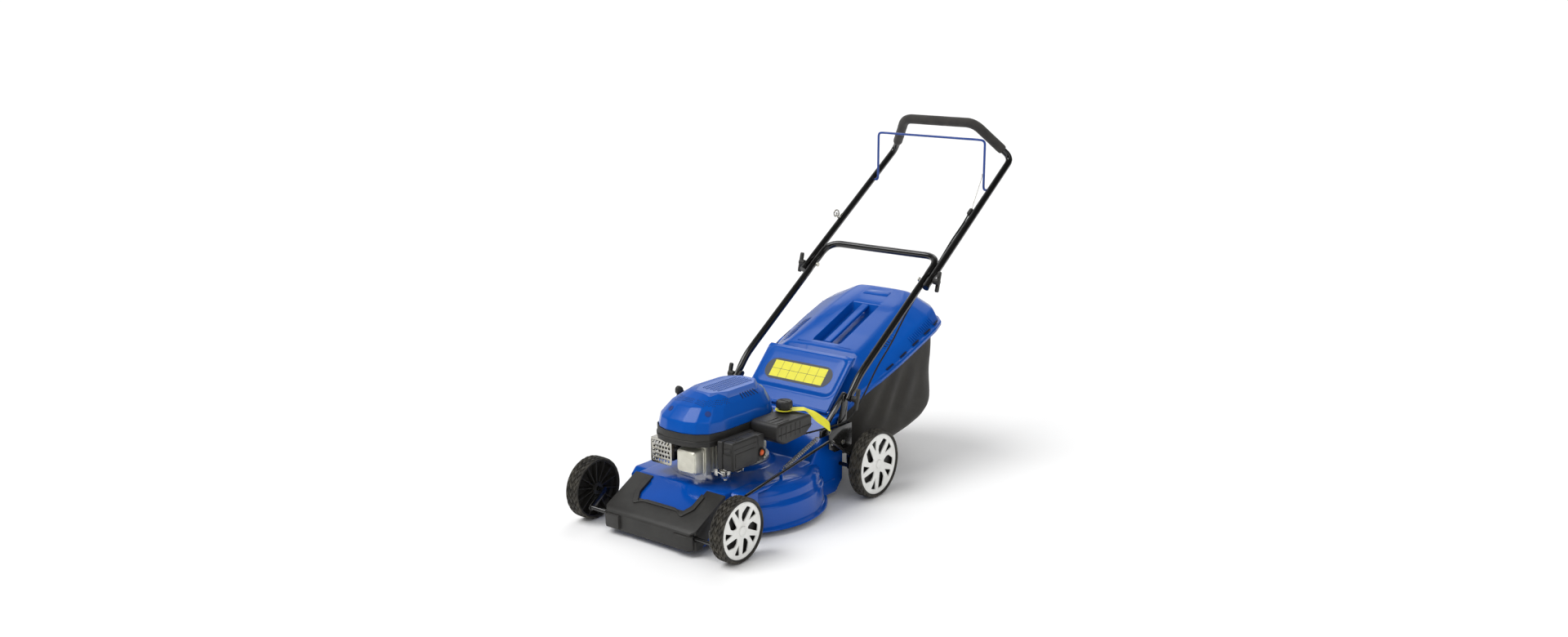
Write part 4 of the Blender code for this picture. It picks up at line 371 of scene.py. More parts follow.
def mesh_object(name, parts, smooth_deg, merge=True):
    """One mesh of parts, each (vertices, faces) or (vertices, faces, number of its material)."""
    vertices, faces, slots, start = [], [], [], 0
    for part in parts:
        vertices.append(part[0])
        faces += [[i + start for i in face] for face in part[1]]
        slots += [part[2] if len(part) > 2 else 0] * len(part[1])
        start += len(part[0])
    mesh = bpy.data.meshes.new(name)
    mesh.from_pydata(np.vstack(vertices).tolist(), [], faces)
    mesh.polygons.foreach_set("material_index", slots)
    if merge:
        work = bmesh.new()
        work.from_mesh(mesh)
        bmesh.ops.remove_doubles(work, verts=work.verts, dist=0.005 * MM)
        bmesh.ops.recalc_face_normals(work, faces=work.faces)
        work.to_mesh(mesh)
        work.free()
    mesh.shade_smooth()
    mesh.set_sharp_from_angle(angle=math.radians(smooth_deg))
    thing = bpy.data.objects.new(name, mesh)
    bpy.context.scene.collection.objects.link(thing)
    return thing


def piece(name, parts, uses, body, stands_for=(), smooth_deg=40, wall=0.0, blend=None):
    """A finished piece in the CAD's frame: its parts, its materials' uses and the body that it rides on.
    Its slot is that of its first material."""
    parts = parts if isinstance(parts, list) else [parts]
    thing = mesh_object(name, [(in_row(part[0]), *part[1:]) for part in parts], smooth_deg)
    uses = uses.split()
    for use in uses:
        thing.data.materials.append(MATERIALS[use])
    if wall:
        thick = thing.modifiers.new("wall", "SOLIDIFY")
        thick.thickness, thick.offset = wall, -1
    if blend:
        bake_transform(thing)
    else:
        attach(thing, body)
    if stands_for:
        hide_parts(*stands_for)
    return thing


def carrier_of(node):
    """The name of the body that carries a CAD node."""
    return next(name for name, empty in frame["bodies"].items() if frame["nodes"][node].parent == empty)


def rounded(node, width_mm, use, smooth_deg=35, segments=2, extra=()):
    """A CAD node's shape, its doubles merged and flats joined, with rounded edges and details of its own."""
    shape = mesh_object(node + "_body", [arrays(frame["nodes"][node].data)], smooth_deg, merge=False)
    data, near = shape.data, 0.01 * MM
    work = bmesh.new()
    work.from_mesh(data)
    bmesh.ops.remove_doubles(work, verts=work.verts, dist=near)
    bmesh.ops.dissolve_limit(work, angle_limit=math.radians(1), verts=work.verts, edges=work.edges)
    sharp = math.radians(30)
    edges = [edge for edge in work.edges if len(edge.link_faces) == 2 and edge.calc_face_angle(0) > sharp]
    bmesh.ops.bevel(work, geom=edges, offset=width_mm * MM, segments=segments, profile=0.5, affect="EDGES",
                    clamp_overlap=True)
    bmesh.ops.remove_doubles(work, verts=work.verts, dist=near)
    bmesh.ops.recalc_face_normals(work, faces=work.faces)
    work.to_mesh(data)
    work.free()
    parts = [arrays(data), *[(in_row(part[0]), *part[1:]) for part in extra]]
    bpy.data.objects.remove(shape)
    bpy.data.meshes.remove(data)
    thing = mesh_object(node + "_shape", parts, smooth_deg, merge=False)
    thing.data.materials.append(MATERIALS[use])
    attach(thing, carrier_of(node))
    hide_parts(node)
    return thing


# Materials


def add(tree, kind, inputs=(), **settings):
    """A shader node with its settings, and its inputs set or linked."""
    made = tree.nodes.new("ShaderNode" + kind)
    for name, value in settings.items():
        setattr(made, name, value)
    for name, value in dict(inputs).items():
        if isinstance(value, bpy.types.NodeSocket):
            tree.links.new(value, made.inputs[name])
        else:
            made.inputs[name].default_value = value
    return made


def finish(name, colour, worn=None, blotch=0.05, gloss=(0.35, 0.45), grain_mm=0.8, height_mm=0.02,
           pattern="grain", amount=0.5, **shader):
    """A procedural surface: two tones in soft blotches, uneven gloss and a fine relief, by Object place."""
    tones = [linear(tone) if isinstance(tone, str) else tuple(tone) for tone in (colour, worn or colour)]
    material = bpy.data.materials.new(name)
    material.use_nodes = True
    tree = material.node_tree
    tree.nodes.clear()
    place = add(tree, "TexCoord").outputs["Object"]
    mapped = add(tree, "Mapping", {"Vector": place}).outputs["Vector"]
    cloud = add(tree, "TexNoise", {"Vector": mapped, "Scale": 1 / blotch, "Detail": 4.0})
    window = {"Value": cloud.outputs["Fac"], "From Min": 0.35, "From Max": 0.7, "To Max": amount}
    contrast = add(tree, "MapRange", window)
    mix = {0: contrast.outputs[0], 6: (*tones[0], 1), 7: (*tones[1], 1)}
    base = add(tree, "Mix", mix, data_type="RGBA")
    speck = add(tree, "TexNoise", {"Vector": mapped, "Scale": 0.2 / (grain_mm * MM), "Detail": 3.0})
    span = {"Value": speck.outputs["Fac"], "To Min": gloss[0], "To Max": gloss[1]}
    roughness = add(tree, "MapRange", span)
    relief = PATTERNS[pattern](tree, mapped, grain_mm * MM)
    bump = add(tree, "Bump", {"Height": relief, "Distance": height_mm * MM, "Strength": 1.0})
    inputs = {"Base Color": base.outputs[2], "Roughness": roughness.outputs[0], "Normal": bump.outputs[0]}
    for key, value in shader.items():
        inputs[key.replace("_", " ").title().replace("Ior", "IOR")] = value
    principled = add(tree, "BsdfPrincipled", inputs)
    add(tree, "OutputMaterial", {"Surface": principled.outputs[0]})
    return material


def grain_relief(tree, place, grain):
    """Fine random grain, as on sprayed paint or spark-eroded mouldings."""
    inputs = {"Vector": place, "Scale": 1 / grain, "Detail": 2.0}
    return add(tree, "TexNoise", inputs).outputs["Fac"]


def cell_relief(tree, place, grain):
    """Small open cells, as in foam."""
    return add(tree, "TexVoronoi", {"Vector": place, "Scale": 1 / grain}).outputs["Distance"]


def weave_relief(tree, place, grain):
    """Yarns over and under each other: one sine wave along each axis, multiplied in pairs."""
    axes = add(tree, "SeparateXYZ", {"Vector": place}).outputs
    waves = []
    for axis in axes:
        angle = add(tree, "Math", {0: axis, 1: TURN / (2 * grain)}, operation="MULTIPLY").outputs[0]
        waves.append(add(tree, "Math", {0: angle}, operation="SINE").outputs[0])
    side = add(tree, "Math", {0: waves[1], 1: waves[2]}, operation="MULTIPLY").outputs[0]
    return add(tree, "Math", {0: side, 1: waves[0], 2: side}, operation="MULTIPLY_ADD").outputs[0]


PATTERNS = {"grain": grain_relief, "cells": cell_relief, "weave": weave_relief}


def make_materials(looks):
    """Every material of the mower, by the name of its CAD slot or its use."""
    return {
        # Sprayed enamel on pressed steel: wet gloss with a faint orange peel
        "blue_paint": finish("enamel_sprayed_on_pressed_steel", looks.deck_blue, "#04469C", 0.12,
                             (0.10, 0.18), 6, specular_ior_level=0.28, coat_weight=0.2, coat_roughness=0.05),
        # Injection-moulded ABS: satin, a little softer than the paint
        "blue_plastic": finish("abs_injection_moulded_blue", looks.plastic_blue, "#064CA4", 0.15,
                               (0.15, 0.24), 1.2, 0.008, specular_ior_level=0.25, coat_weight=0.08,
                               coat_roughness=0.08),
        # The cowl's grille is the same plastic, left matt and painted paler: a painted reflection of the
        # bright sky on its upward face
        "plateau": finish("abs_blue_matt_painted_reflection", "#3D68BC", "#2F5AA8", 0.05, (0.3, 0.4)),
        # A near-black that is painted shadow: it stands for the shade inside slots, vents, holes and gaps
        "vent_dark": finish("shadowed_slot_in_blue_abs", "#061734", gloss=(0.6, 0.7)),
        # A darker blue that is painted shade: the recess under the plateau's grille, and the cowl's plugs
        "slot_blue": finish("blue_abs_painted_shade_in_recess", "#0C3480", "#0A2B6B", gloss=(0.5, 0.6)),
        # Thin powder coat on the bail's wire
        "bail_paint": finish("powder_coated_wire_blue", "#173F8F", "#12357C", 0.05, (0.2, 0.3)),
        # Glass-filled nylon with a spark-eroded grain: dull black, greyer in soft patches
        "black_plastic": finish("nylon_moulded_eroded_grain", looks.moulded_black, "#33322F", 0.04,
                                (0.42, 0.58), 0.7, 0.03),
        # Powder coat on steel tube: glossy black with fine pimples
        "black_paint": finish("powder_coated_steel_black", "#0C0C0B", "#1B1B1A", 0.1, (0.16, 0.28), 1.5,
                              0.012, coat_weight=0.4, coat_roughness=0.1),
        # Vulcanised rubber, dusty in patches on the tyres
        "tyre": finish("vulcanised_rubber_dusty", "#282622", "#5E594E", 0.02, (0.6, 0.85), 0.9, 0.05,
                       amount=0.55),
        "black_rubber": finish("vulcanised_rubber", "#191918", "#2B2B29", 0.02, (0.6, 0.8)),
        # Woven polyester: matt with a faint sheen and yarn relief, bound with a closer woven tape
        "black_fabric": finish("polyester_woven_black", looks.fabric_black, "#38352F", 0.06, (0.8, 0.95),
                               looks.weave_pitch / MM, 0.05, "weave", sheen_weight=0.12,
                               sheen_roughness=0.45),
        "binding": finish("polyester_tape_woven_narrow", "#151412", "#2A2826", 0.02, (0.75, 0.9), 0.8, 0.12,
                          "weave", sheen_weight=0.3),
        # Closed-cell foam sleeve: dull, finely pitted
        "black_foam": finish("foam_sleeve_closed_cell", "#2A2826", "#45413C", 0.03, (0.85, 0.95), 1.1, 0.15,
                             "cells", sheen_weight=0.2),
        # Polypropylene, moulded white and slightly warm
        "white_plastic": finish("polypropylene_moulded_white", looks.trim_white, "#D2D1CC", 0.03,
                                (0.3, 0.42), 0.9, 0.01, amount=0.35),
        # Pressure-cast and tumbled aluminium: pale warm grey, grainy
        "cast_aluminium": finish("aluminium_pressure_cast_tumbled", "#E2E0D2", "#C2BFAF", 0.02, (0.34, 0.5),
                                 0.9, 0.06, metallic=0.7),
        # Zinc-plated steel: bright with faint yellow passivation; heat has stained the silencer's
        "bright_steel": finish("steel_zinc_plated", "#C9C8C4", "#B5AE94", 0.015, (0.2, 0.34), 0.6, 0.01,
                               metallic=1.0),
        "dark_steel": finish("steel_heat_stained", "#4A453F", "#6A5F50", 0.02, (0.35, 0.5), 0.6,
                             metallic=1.0),
        # Coated card and printed film: smooth, with a soft even gloss
        "yellow_card": finish("card_coated_yellow", looks.label_yellow, "#D8CF2C", 0.02, (0.45, 0.55), 0.5,
                              0.01, amount=0.3),
        "label_dark": finish("polyester_film_dark_grey", "#3B4045", "#30353A", 0.02, (0.4, 0.5)),
        # Soft moulded silicone
        "orange_rubber": finish("silicone_moulded_orange", looks.primer_orange, gloss=(0.35, 0.5)),
        # Braided nylon: pale, with darker dirt in small patches
        "rope": finish("nylon_cord_braided", "#D9D7CF", "#9A978D", 0.004, (0.7, 0.85), 0.9, 0.2, "weave"),
    }


MATERIALS = {}


# Wheels


def tyre(axle_y, radius, side, looks):
    """A band whose tread sinks by the depth of zigzag grooves: the phase of a lug number times the turn
    plus a triangle wave across the width picks slanting grooves, and two waved lines run round it."""
    lugs, depth = looks.tread_lugs, looks.tread_depth
    across = np.linspace(-1, 1, 33)
    turn = np.arange(lugs * 10) * TURN / (lugs * 10)
    u, angle = np.meshgrid(across, turn, indexing="ij")
    zigzag = np.abs(((u * 1.5 + 0.5) % 1.0) * 2 - 1)
    phase = (lugs * angle / TURN + 0.9 * zigzag) % 1.0
    slanted = step(np.abs(phase - 0.5), 0.31, 0.38)
    ringed = 1 - step(np.abs(np.abs(u) - 0.36 - 0.05 * np.sin(lugs * angle)), 0.03, 0.07)
    crown = 1.2 * MM * u**4 + 2.2 * MM * step(np.abs(u), 0.86, 1.0)
    r = radius - crown - depth * np.maximum(slanted, 0.6 * ringed) * step(1 - np.abs(u), 0.0, 0.08)
    half = TYRE_WIDTH / 2 - 1.0 * MM
    x = u * (half - 1.5 * MM)
    centre = side * (WHEEL_OUTER_X - TYRE_WIDTH / 2)

    def ring(r_at, x_at):
        return np.stack([np.full_like(turn, x_at), r_at * np.cos(turn), r_at * np.sin(turn)], -1)

    seat = radius - TYRE_HEIGHT - 0.4 * MM
    left = [ring(seat, -half + 2 * MM), ring(seat + 1 * MM, -half), ring(radius - 4.2 * MM, -half)]
    right = [ring(radius - 4.2 * MM, half), ring(seat + 1 * MM, half), ring(seat, half - 2 * MM)]
    tread = np.stack([x, r * np.cos(angle), r * np.sin(angle)], -1)
    net = np.concatenate([np.stack(left), tread, np.stack(right)])
    return surface(net + np.array((centre, axle_y, radius)), wrap_rows=True, wrap_columns=True)


def wheel_body(axle_y, radius, side, looks):
    """The moulded centre: a band, a dished web and a hub turned about the axle, ribbed on its inner side."""
    inside, centre = WHEEL_OUTER_X - TYRE_WIDTH, (0, axle_y, radius)
    band = radius - TYRE_HEIGHT - 0.5 * MM
    wall, web, hub = 3 * MM, inside + 0.024, 0.017
    profile = [
        (0.0066, inside + 0.002), (hub, inside + 0.002), (hub + 1 * MM, web - 0.002), (hub + 8 * MM, web),
        (band - wall - 6 * MM, web), (band - wall, web - 6 * MM), (band - wall, inside + 0.003),
        (band - wall / 2, inside + 0.0018), (band, inside + 0.003), (band, WHEEL_OUTER_X - 0.0035),
        (band - wall, WHEEL_OUTER_X - 0.0035), (band - wall, web + 0.004), (hub, web + 0.003),
        (hub, WHEEL_OUTER_X - 0.0075), (0.0066, WHEEL_OUTER_X - 0.0075),
    ]
    parts = [lathe(profile, centre, "X", 72, side)]
    low = (side * (inside + 0.006), hub - 1 * MM, -1.1 * MM)
    high = (side * (web + 1 * MM), band - wall + 0.5 * MM, 1.1 * MM)
    for rib in range(looks.wheel_ribs):
        turn = TURN * (rib + 0.5) / looks.wheel_ribs
        spin = Matrix.Translation(centre) @ Matrix.Rotation(turn, 4, "X")
        parts.append(turned(block(low, high, 0.5 * MM, 1), spin))
    return parts


def wheel_trim(axle_y, radius, side):
    """A white disc with a raised rim and a domed hub, cut by ten windows: a large one whose one side is
    straight and whose other bends at mid radius, and a slit near the rim, five times round."""
    rim = radius - TYRE_HEIGHT - 3.8 * MM
    face, centre = WHEEL_OUTER_X - 4.7 * MM, (0, axle_y, radius)
    windows = (
        ((0.845, -17), (0.850, -9), (0.845, -1), (0.62, 15), (0.48, 18), (0.33, 10), (0.32, -2)),
        ((0.845, 27), (0.850, 36), (0.845, 44), (0.48, 36)),
    )
    outlines = [circle((axle_y, radius), rim - 0.6 * MM, 72)]
    for spoke in range(5):
        for window in windows:
            share, turn = np.array(window).T
            turn = np.radians(turn + 72 * spoke)
            corners = np.stack([side * share * np.cos(turn), share * np.sin(turn), 0 * turn], 1) * rim
            outlines.append(bent_loop(corners, 2.0 * MM, 4)[:, :2] + (axle_y, radius))
    disc = plate(outlines, 4.4 * MM, "X", side * (face - 2.6 * MM), 1.2 * MM)
    ring = [
        (0.870 * rim, face - 3.0 * MM), (rim, face - 4.0 * MM), (rim, face - 0.6 * MM),
        (rim - 1.2 * MM, face + 0.3 * MM), (0.900 * rim, face + 0.3 * MM), (0.880 * rim, face - 0.4 * MM),
        (0.865 * rim, face - 1.4 * MM),
    ]
    # The hub's radius, and its height over the face, in millimetres
    dome = ((0, -3), (19.5, -3), (19, -0.6), (17, 0.6), (14.6, 0.6), (13.8, -0.2), (13.3, 2.4), (11.8, 3.6),
            (9, 3.9), (8.5, 3.4), (0, 3.6))
    hub = [(r * MM, face + rise * MM) for r, rise in dome]
    return [disc, lathe(ring, centre, "X", 96, side), spun(hub, centre, "X", 48, side)]


def build_wheels(looks):
    """Each wheel's tyre, moulded centre and spoked trim."""
    for name, (side, axle_y, radius) in AXLES.items():
        place = (axle_y, radius, side)
        for kind, node, parts, use, slot, smooth_deg in (
            ("tread_band_", "tyre_", tyre(*place, looks), "tyre", "black_rubber", 32),
            ("wheel_centre_", "rim_", wheel_body(*place, looks), "black_plastic", "black_plastic", 35),
            ("wheel_spokes_", "trim_", wheel_trim(*place), "white_plastic", "white_plastic", 45),
        ):
            piece(kind + name, parts, use, "wheel_" + name, [node + name], smooth_deg)


# Deck


def channel_shell(stations, half, wall, edge):
    """A downward channel through stations of (y, top height, bottom height): two sides and a top with
    round corners, with an inner skin one wall inside it."""
    rows = []
    for y, top, low in stations:
        outer = [(-half, y, low), (-half, y, top), (half, y, top), (half, y, low)]
        thin, roof = half - wall, top - wall
        inner = [(thin, y, low), (thin, y, roof), (-thin, y, roof), (-thin, y, low)]
        rows.append([*bent(outer, edge, 6), *bent(inner, edge - wall, 6)])
    return surface(soften_rows(np.array(rows), 4 * MM, 4), wrap_columns=True)


def pan():
    """The round pan: a profile with a seat, a shoulder, a step and a flared lip, turned about the shaft
    and backed by the same profile one wall inside; its part inside the chute is left out."""
    wall_r = DECK_RADIUS - 0.012
    corners = [
        (0.029, 0.152), (0.100, 0.152), (0.114, 0.143), (wall_r - 0.056, 0.139), (wall_r - 0.026, 0.131),
        (wall_r - 0.012, 0.115), (wall_r - 0.010, 0.090), (wall_r, 0.080), (wall_r, 0.026),
        (DECK_RADIUS - 1 * MM, 0.0200), (DECK_RADIUS, 0.0165),
    ]
    outer = bent([(r, 0, z) for r, z in corners], np.array((0, 3, 4, 9, 9, 9, 4, 4, 4, 2, 0)) * MM, 6)
    along = unit(np.gradient(outer, axis=0))
    inner = outer - np.stack([-along[:, 2], 0 * along[:, 0], along[:, 0]], 1) * DECK_WALL
    profile = np.vstack([outer, inner[::-1]])[:, (0, 2)]
    vertices, faces = lathe(profile, (0, 0, 0), "Z", 144)
    middle = np.array([vertices[face].mean(0) for face in faces])
    hidden = (np.abs(middle[:, 0]) < CHUTE_HALF - 3 * MM) & (middle[:, 1] > 0.116)
    return vertices, [face for face, gone in zip(faces, hidden) if not gone]


def build_deck(looks):
    """The deck: the pan with the nose, the forecourt and the chute as channels, the plates that close them,
    and what is bolted to it. Where a channel runs inside the pan its sides end above the blade."""
    wall, thin_edge, over = DECK_WALL, 0.6 * MM, 0.128
    nose = [(NOSE_FRONT_Y, 0.0805, 0.017), (-0.233, 0.1385, 0.017), (-0.201, 0.139, 0.017),
            (-0.199, 0.139, over), (-0.060, 0.139, over)]
    forecourt = [(-0.222, 0.121, 0.062), (-0.206, 0.137, 0.062), (-0.154, 0.137, 0.062),
                 (-0.152, 0.137, over), (-0.040, 0.137, over)]
    chute = [
        (0.050, 0.139, over), (0.112, 0.141, over), (0.138, 0.1714, over), (0.140, 0.1738, 0.020),
        (0.200, 0.244, 0.020), (0.214, 0.248, 0.020), (0.232, 0.248, 0.020), (CHUTE_REAR_Y, 0.248, 0.052),
    ]
    parts = [
        pan(),
        channel_shell(nose, 0.158, wall, 7 * MM),
        channel_shell(forecourt, 0.204, wall, 8 * MM),
        channel_shell(chute, CHUTE_HALF, wall, 8 * MM),
        block((-0.156, NOSE_FRONT_Y, 0.017), (0.156, NOSE_FRONT_Y + wall, 0.079), thin_edge),
        block((-0.202, -0.222, 0.062), (-0.130, -0.222 + wall, 0.120), thin_edge),
        block((0.130, -0.222, 0.062), (0.202, -0.222 + wall, 0.120), thin_edge),
        block((-0.1865, 0.2402, 0.022), (0.1865, 0.2424, 0.118), thin_edge),
        block((-0.1865, 0.2378, 0.1158), (0.1865, CHUTE_REAR_Y, 0.118), thin_edge),
    ]
    for side in (-1, 1):
        behind, ahead = NOSE_FRONT_Y + 0.001, -0.3745
        arm = [(behind, 0.036), (behind, 0.070), (ahead, 0.0605), (ahead, 0.044)]
        parts.append(plate([arm], 3 * MM, "X", side * 0.1195))
        ear = [(0.222, 0.247), (0.236, 0.247), *circle(FLAP_HINGE, 5.5 * MM, 16)[:9]]
        parts.append(plate([ear], 4 * MM, "X", side * 0.165))
        # A pressed swage along the chute's flank
        rib = [(side * (CHUTE_HALF + 0.2 * MM), y, 0.060) for y in (0.100, 0.225)]
        parts.append(domed(resample(rib, 0.02), 3 * MM, 12))
    parts.append(block((0.193, -0.0439, 0.134), (0.203, -0.0409, 0.165), thin_edge))
    piece("deck_pressing", parts, "blue_paint", "deck", ["deck"], 40)
    rounded("front_bumper", 3, "black_plastic", 40, 3, bumper_details())
    for node in ("handle_bracket_left", "handle_bracket_right"):
        rounded(node, 0.8, "black_paint")
    head = [(0, 0.2198), (0.0085, 0.2198), (0.0085, 0.2206), (0.0062, 0.2210), (0.0062, 0.2236),
            (0.0054, 0.2246), (0, 0.2246)]
    nut = [(0, 0.1926), (0.007, 0.1926), (0.007, 0.1976), (0, 0.1976)]
    bolts = []
    for side in (-1, 1):
        for profile, y, z in ((head, 0.172, 0.190), (head, 0.222, 0.181), (nut, *LOWER_PIVOT)):
            bolts.append(spun(profile, (0, y, z), "X", 6, side))
    piece("bracket_bolts", bolts, "bright_steel", "deck")
    for node, width_mm in (("rear_axle", 0.8), ("front_axle", 0.8), ("link_rod", 0.6), ("height_lever", 0.8)):
        rounded(node, width_mm, "black_paint")
    rounded("height_quadrant", 0.4, "bright_steel")


def bumper_details():
    """On the bumper: a thick block at each front corner, and a flat raised lip that frames the nose."""

    def top(x, y):
        return np.array((x, y, 0.066 + 0.5294 * (y + 0.379)))

    corner = [(0.100, -0.3860), (0.146, -0.3860), (0.161, -0.3740), (0.161, -0.3660), (0.094, -0.3660)]
    parts = []
    for side in (-1, 1):
        parts.append(plate([np.array(corner) * (side, 1)], 0.040, "Z", 0.0405, 2.5 * MM))
    rise, middle = np.array((0, -1.6, 3.4)) * MM, top(0, -0.290)
    lip = [(-0.103, -0.262), (-0.103, -0.304), (-0.082, -0.335), (-0.058, -0.322), (0.058, -0.322),
           (0.082, -0.335), (0.103, -0.304), (0.103, -0.262)]
    line = bent([top(x, y) for x, y in lip], 0.006, 4)
    half_width = (middle - line) * (0.075, 0, 0) + np.array((0, 4.5, 2.4)) * MM
    inner, outer = line + half_width, line - half_width
    rows = [outer - rise, outer + rise, inner + rise, inner - rise]
    ring = soften(np.swapaxes(np.array(rows), 0, 1), 1.4 * MM, 4, closed=True)
    parts.append(surface(ring, wrap_columns=True, caps=True))
    return parts


def build_spring(looks):
    """A helix of the CAD's turns on the line between its post and its eye, with straight ends."""
    start, end, side = np.array(((0.198, -0.040, 0.160), (0.198, 0.138, 0.215), (1.0, 0, 0)))
    along = unit(end - start)
    up = np.cross(along, side)
    turns, per_turn = 20, 14
    t = np.arange(turns * per_turn + 1) / per_turn * TURN
    middle = (start + along * 0.012) + (end - start - along * 0.024) * (t / t[-1])[:, None]
    coil = middle + 5.2 * MM * (np.cos(t)[:, None] * side + np.sin(t)[:, None] * up)
    path = np.vstack([start, start + along * 0.006, coil, end - along * 0.006, end])
    piece("lift_spring_wire", sweep(path, 1.7 * MM, 8, across=along), "bright_steel", "deck",
          ["lift_spring"], 60)


# Engine


def build_engine(looks):
    """The engine's parts; those that keep their CAD shape get rounded edges."""
    for node, width_mm, use in (
        ("air_filter_base", 1.2, "black_plastic"),
        ("carburettor", 1.0, "cast_aluminium"),
        ("spark_plug_boot", 1.2, "black_rubber"),
        ("muffler", 2.5, "dark_steel"),
        ("crankshaft", 0.6, "bright_steel"),
        ("flywheel", 1.0, "cast_aluminium"),
        ("blade_adapter", 0.8, "cast_aluminium"),
        ("blade_bolt", 0.6, "bright_steel"),
        ("blade", 0.5, "dark_steel"),
    ):
        rounded(node, width_mm, use)
    flange = []
    for turn in np.radians((20, 80, 140, 200, 260, 320)):
        place = (0.091 * math.cos(turn), 0.091 * math.sin(turn), 0)
        flange.append(bolt(5.2 * MM, 4.5 * MM, (0.162, 0.1665, 0.1675), place))
    # Cast gussets between the crankcase and its flange
    for heading in range(-24, 60, 14):
        gusset = block((0.070, -1.6 * MM, 0.163), (0.0875, 1.6 * MM, 0.197))
        flange.append(turned(gusset, Matrix.Rotation(math.radians(heading), 4, "Z")))
    rounded("engine_block", 1.0, "cast_aluminium", extra=flange)
    for build in (rocker, air_box, housing, cowl, guard, governor, tank, tag):
        build()


def rocker():
    """The rocker cover: rounded rectangles lofted forward to a drawn-in face, two ridges across it."""
    x, half, z_low, z_high, seat_y = 0.033, 0.039, 0.171, 0.245, -0.2184
    rows = []
    for depth_mm, inset_mm in ((0, 0), (4, 0), (5, 1.6), (20, 2.4), (31, 5), (34.5, 9)):
        y, inset = seat_y - depth_mm * MM, inset_mm * MM
        left, right, low, high = x - half + inset, x + half - inset, z_low + inset, z_high - inset
        rows.append([(left, y, low), (right, y, low), (right, y, high), (left, y, high)])
    parts = [surface(soften(rows, 10 * MM, 6, closed=True), wrap_columns=True, caps=True)]
    for z in (0.196, 0.224):
        line = [(x - half + 0.010, -0.2515, z), (x + half - 0.010, -0.2515, z)]
        parts.append(domed(resample(line, 0.01), 1.3 * MM, 10))
    for side in (-1, 1):
        for z in (0.178, 0.238):
            place = (x + side * 0.0335, 0, z)
            parts.append(bolt(4.2 * MM, 3 * MM, (-0.2234, -0.2266, -0.2275), place, "Y"))
    piece("rocker_cover_casting", parts, "cast_aluminium", "deck", ["rocker_cover"], 30)


def air_box():
    """The air filter's cover with a raised panel, and the primer's collar and dome beside it."""
    x, y0, y1, z0, z1 = 0.1700, -0.216, -0.1068, 0.196, 0.277
    # A raised panel on the cover's outer face with a finger recess above it, and a stepped lid line
    cover = [
        block((x - 1 * MM, y0 + 0.010, z0 + 0.010), (x + 1.4 * MM, y1 - 0.012, z1 - 0.032)),
        block((x - 1 * MM, y0 + 0.006, z1 - 0.022), (x + 1.0 * MM, y1 - 0.006, z1 - 0.018), 0.8 * MM),
        block((0.136, y0 - 1.6 * MM, z0 + 0.012), (0.166, y0 + 1 * MM, z1 - 0.034), 0.8 * MM),
    ]
    for rib in range(4):
        y = y0 + 0.020 + rib * 0.011
        cover.append(block((0.142, y, z1 - 1 * MM), (0.164, y + 3 * MM, z1 + 1.6 * MM), 0.7 * MM))
    rounded("air_filter_cover", 1.2, "black_plastic", 40, 3, cover)
    centre = (0, -0.092, 0.222)
    dome = [(0.0, 0.1742), (0.0040, 0.1738), (0.0070, 0.1718), (0.0084, 0.1690), (0.0088, 0.1640),
            (0.0, 0.1640)]
    collar = [(0.0092, 0.1696), (0.0112, 0.1700), (0.0112, 0.1722), (0.0122, 0.1728), (0.0128, 0.1716),
              (0.0130, 0.1690), (0.0092, 0.1690)]
    piece("primer_collar", lathe(collar, centre, "X", 32), "black_plastic", "deck")
    piece("primer_dome", spun(dome, centre, "X", 32), "orange_rubber", "primer", ["primer_bulb"], 60)


def housing():
    """The blower housing, with a second lip round its outer wall where its two mouldings overlap."""
    outline = housing_outline(-1.2 * MM)
    line = bent_loop(np.c_[outline, np.full(len(outline), 0.2700)], 8 * MM, 4)
    lip = sweep(line, np.tile((1.5 * MM, 3.0 * MM), (len(line), 1)), 8, closed=True)
    rounded("blower_housing", 1.5, "black_plastic", 35, 3, [lip])


def housing_outline(inset):
    """The blower housing seen from above: round behind the shaft and tapering to a blunt front."""
    radius, front = 0.108 - inset, -0.266 + inset
    turn = np.radians(np.linspace(90, 0, 15))
    half = [*zip(radius * np.cos(turn), radius * np.sin(turn)), (radius, -0.180), (radius - 0.012, -0.226),
            (radius - 0.040, front + 0.012), (0.030, front)]
    return np.array(half + [(-x, y) for x, y in half[::-1]])[:-1]


COWL_CROWN = np.array((0.022, -0.050))
COWL_SHARES = (0.54, 0.57, 0.80, 0.96, 0.99)
COWL_HEIGHTS = (0.3840, 0.3810, 0.3564, 0.3224, 0.2924)


def cowl_ring(height, share, inset=0.0):
    """The housing's outline drawn towards the cowl's crown, at a height."""
    reach = housing_outline(2 * MM) - COWL_CROWN
    return np.c_[COWL_CROWN + reach * share - unit(reach) * inset, np.full(len(reach), height)]


def cowl_share(x, y):
    """How far out a place in plan lies between the cowl's crown, 0, and its outline, 1."""
    outline = cowl_ring(0.0, 1.0)
    fine = resample(np.vstack([outline, outline[:1]]), 2 * MM)[:-1, :2] - COWL_CROWN
    heading = np.arctan2(fine[:, 1], fine[:, 0])
    order = np.argsort(heading)
    away = np.array((x, y)) - COWL_CROWN
    rim = np.linalg.norm(fine, axis=1)[order]
    reach = np.interp(math.atan2(away[1], away[0]), heading[order], rim, period=TURN)
    return float(np.linalg.norm(away) / reach)


def on_cowl(x, y, raised=0.0):
    """The point of the cowl's skin over a place in plan, raised a little."""
    return np.array((x, y, np.interp(cowl_share(x, y), COWL_SHARES, COWL_HEIGHTS) + raised))


def cowl_place(heading, share):
    """The place in plan at a heading from the cowl's crown and a share of its outline."""
    away = np.array((math.cos(heading), math.sin(heading)))
    return COWL_CROWN + away * share / cowl_share(*(COWL_CROWN + away))


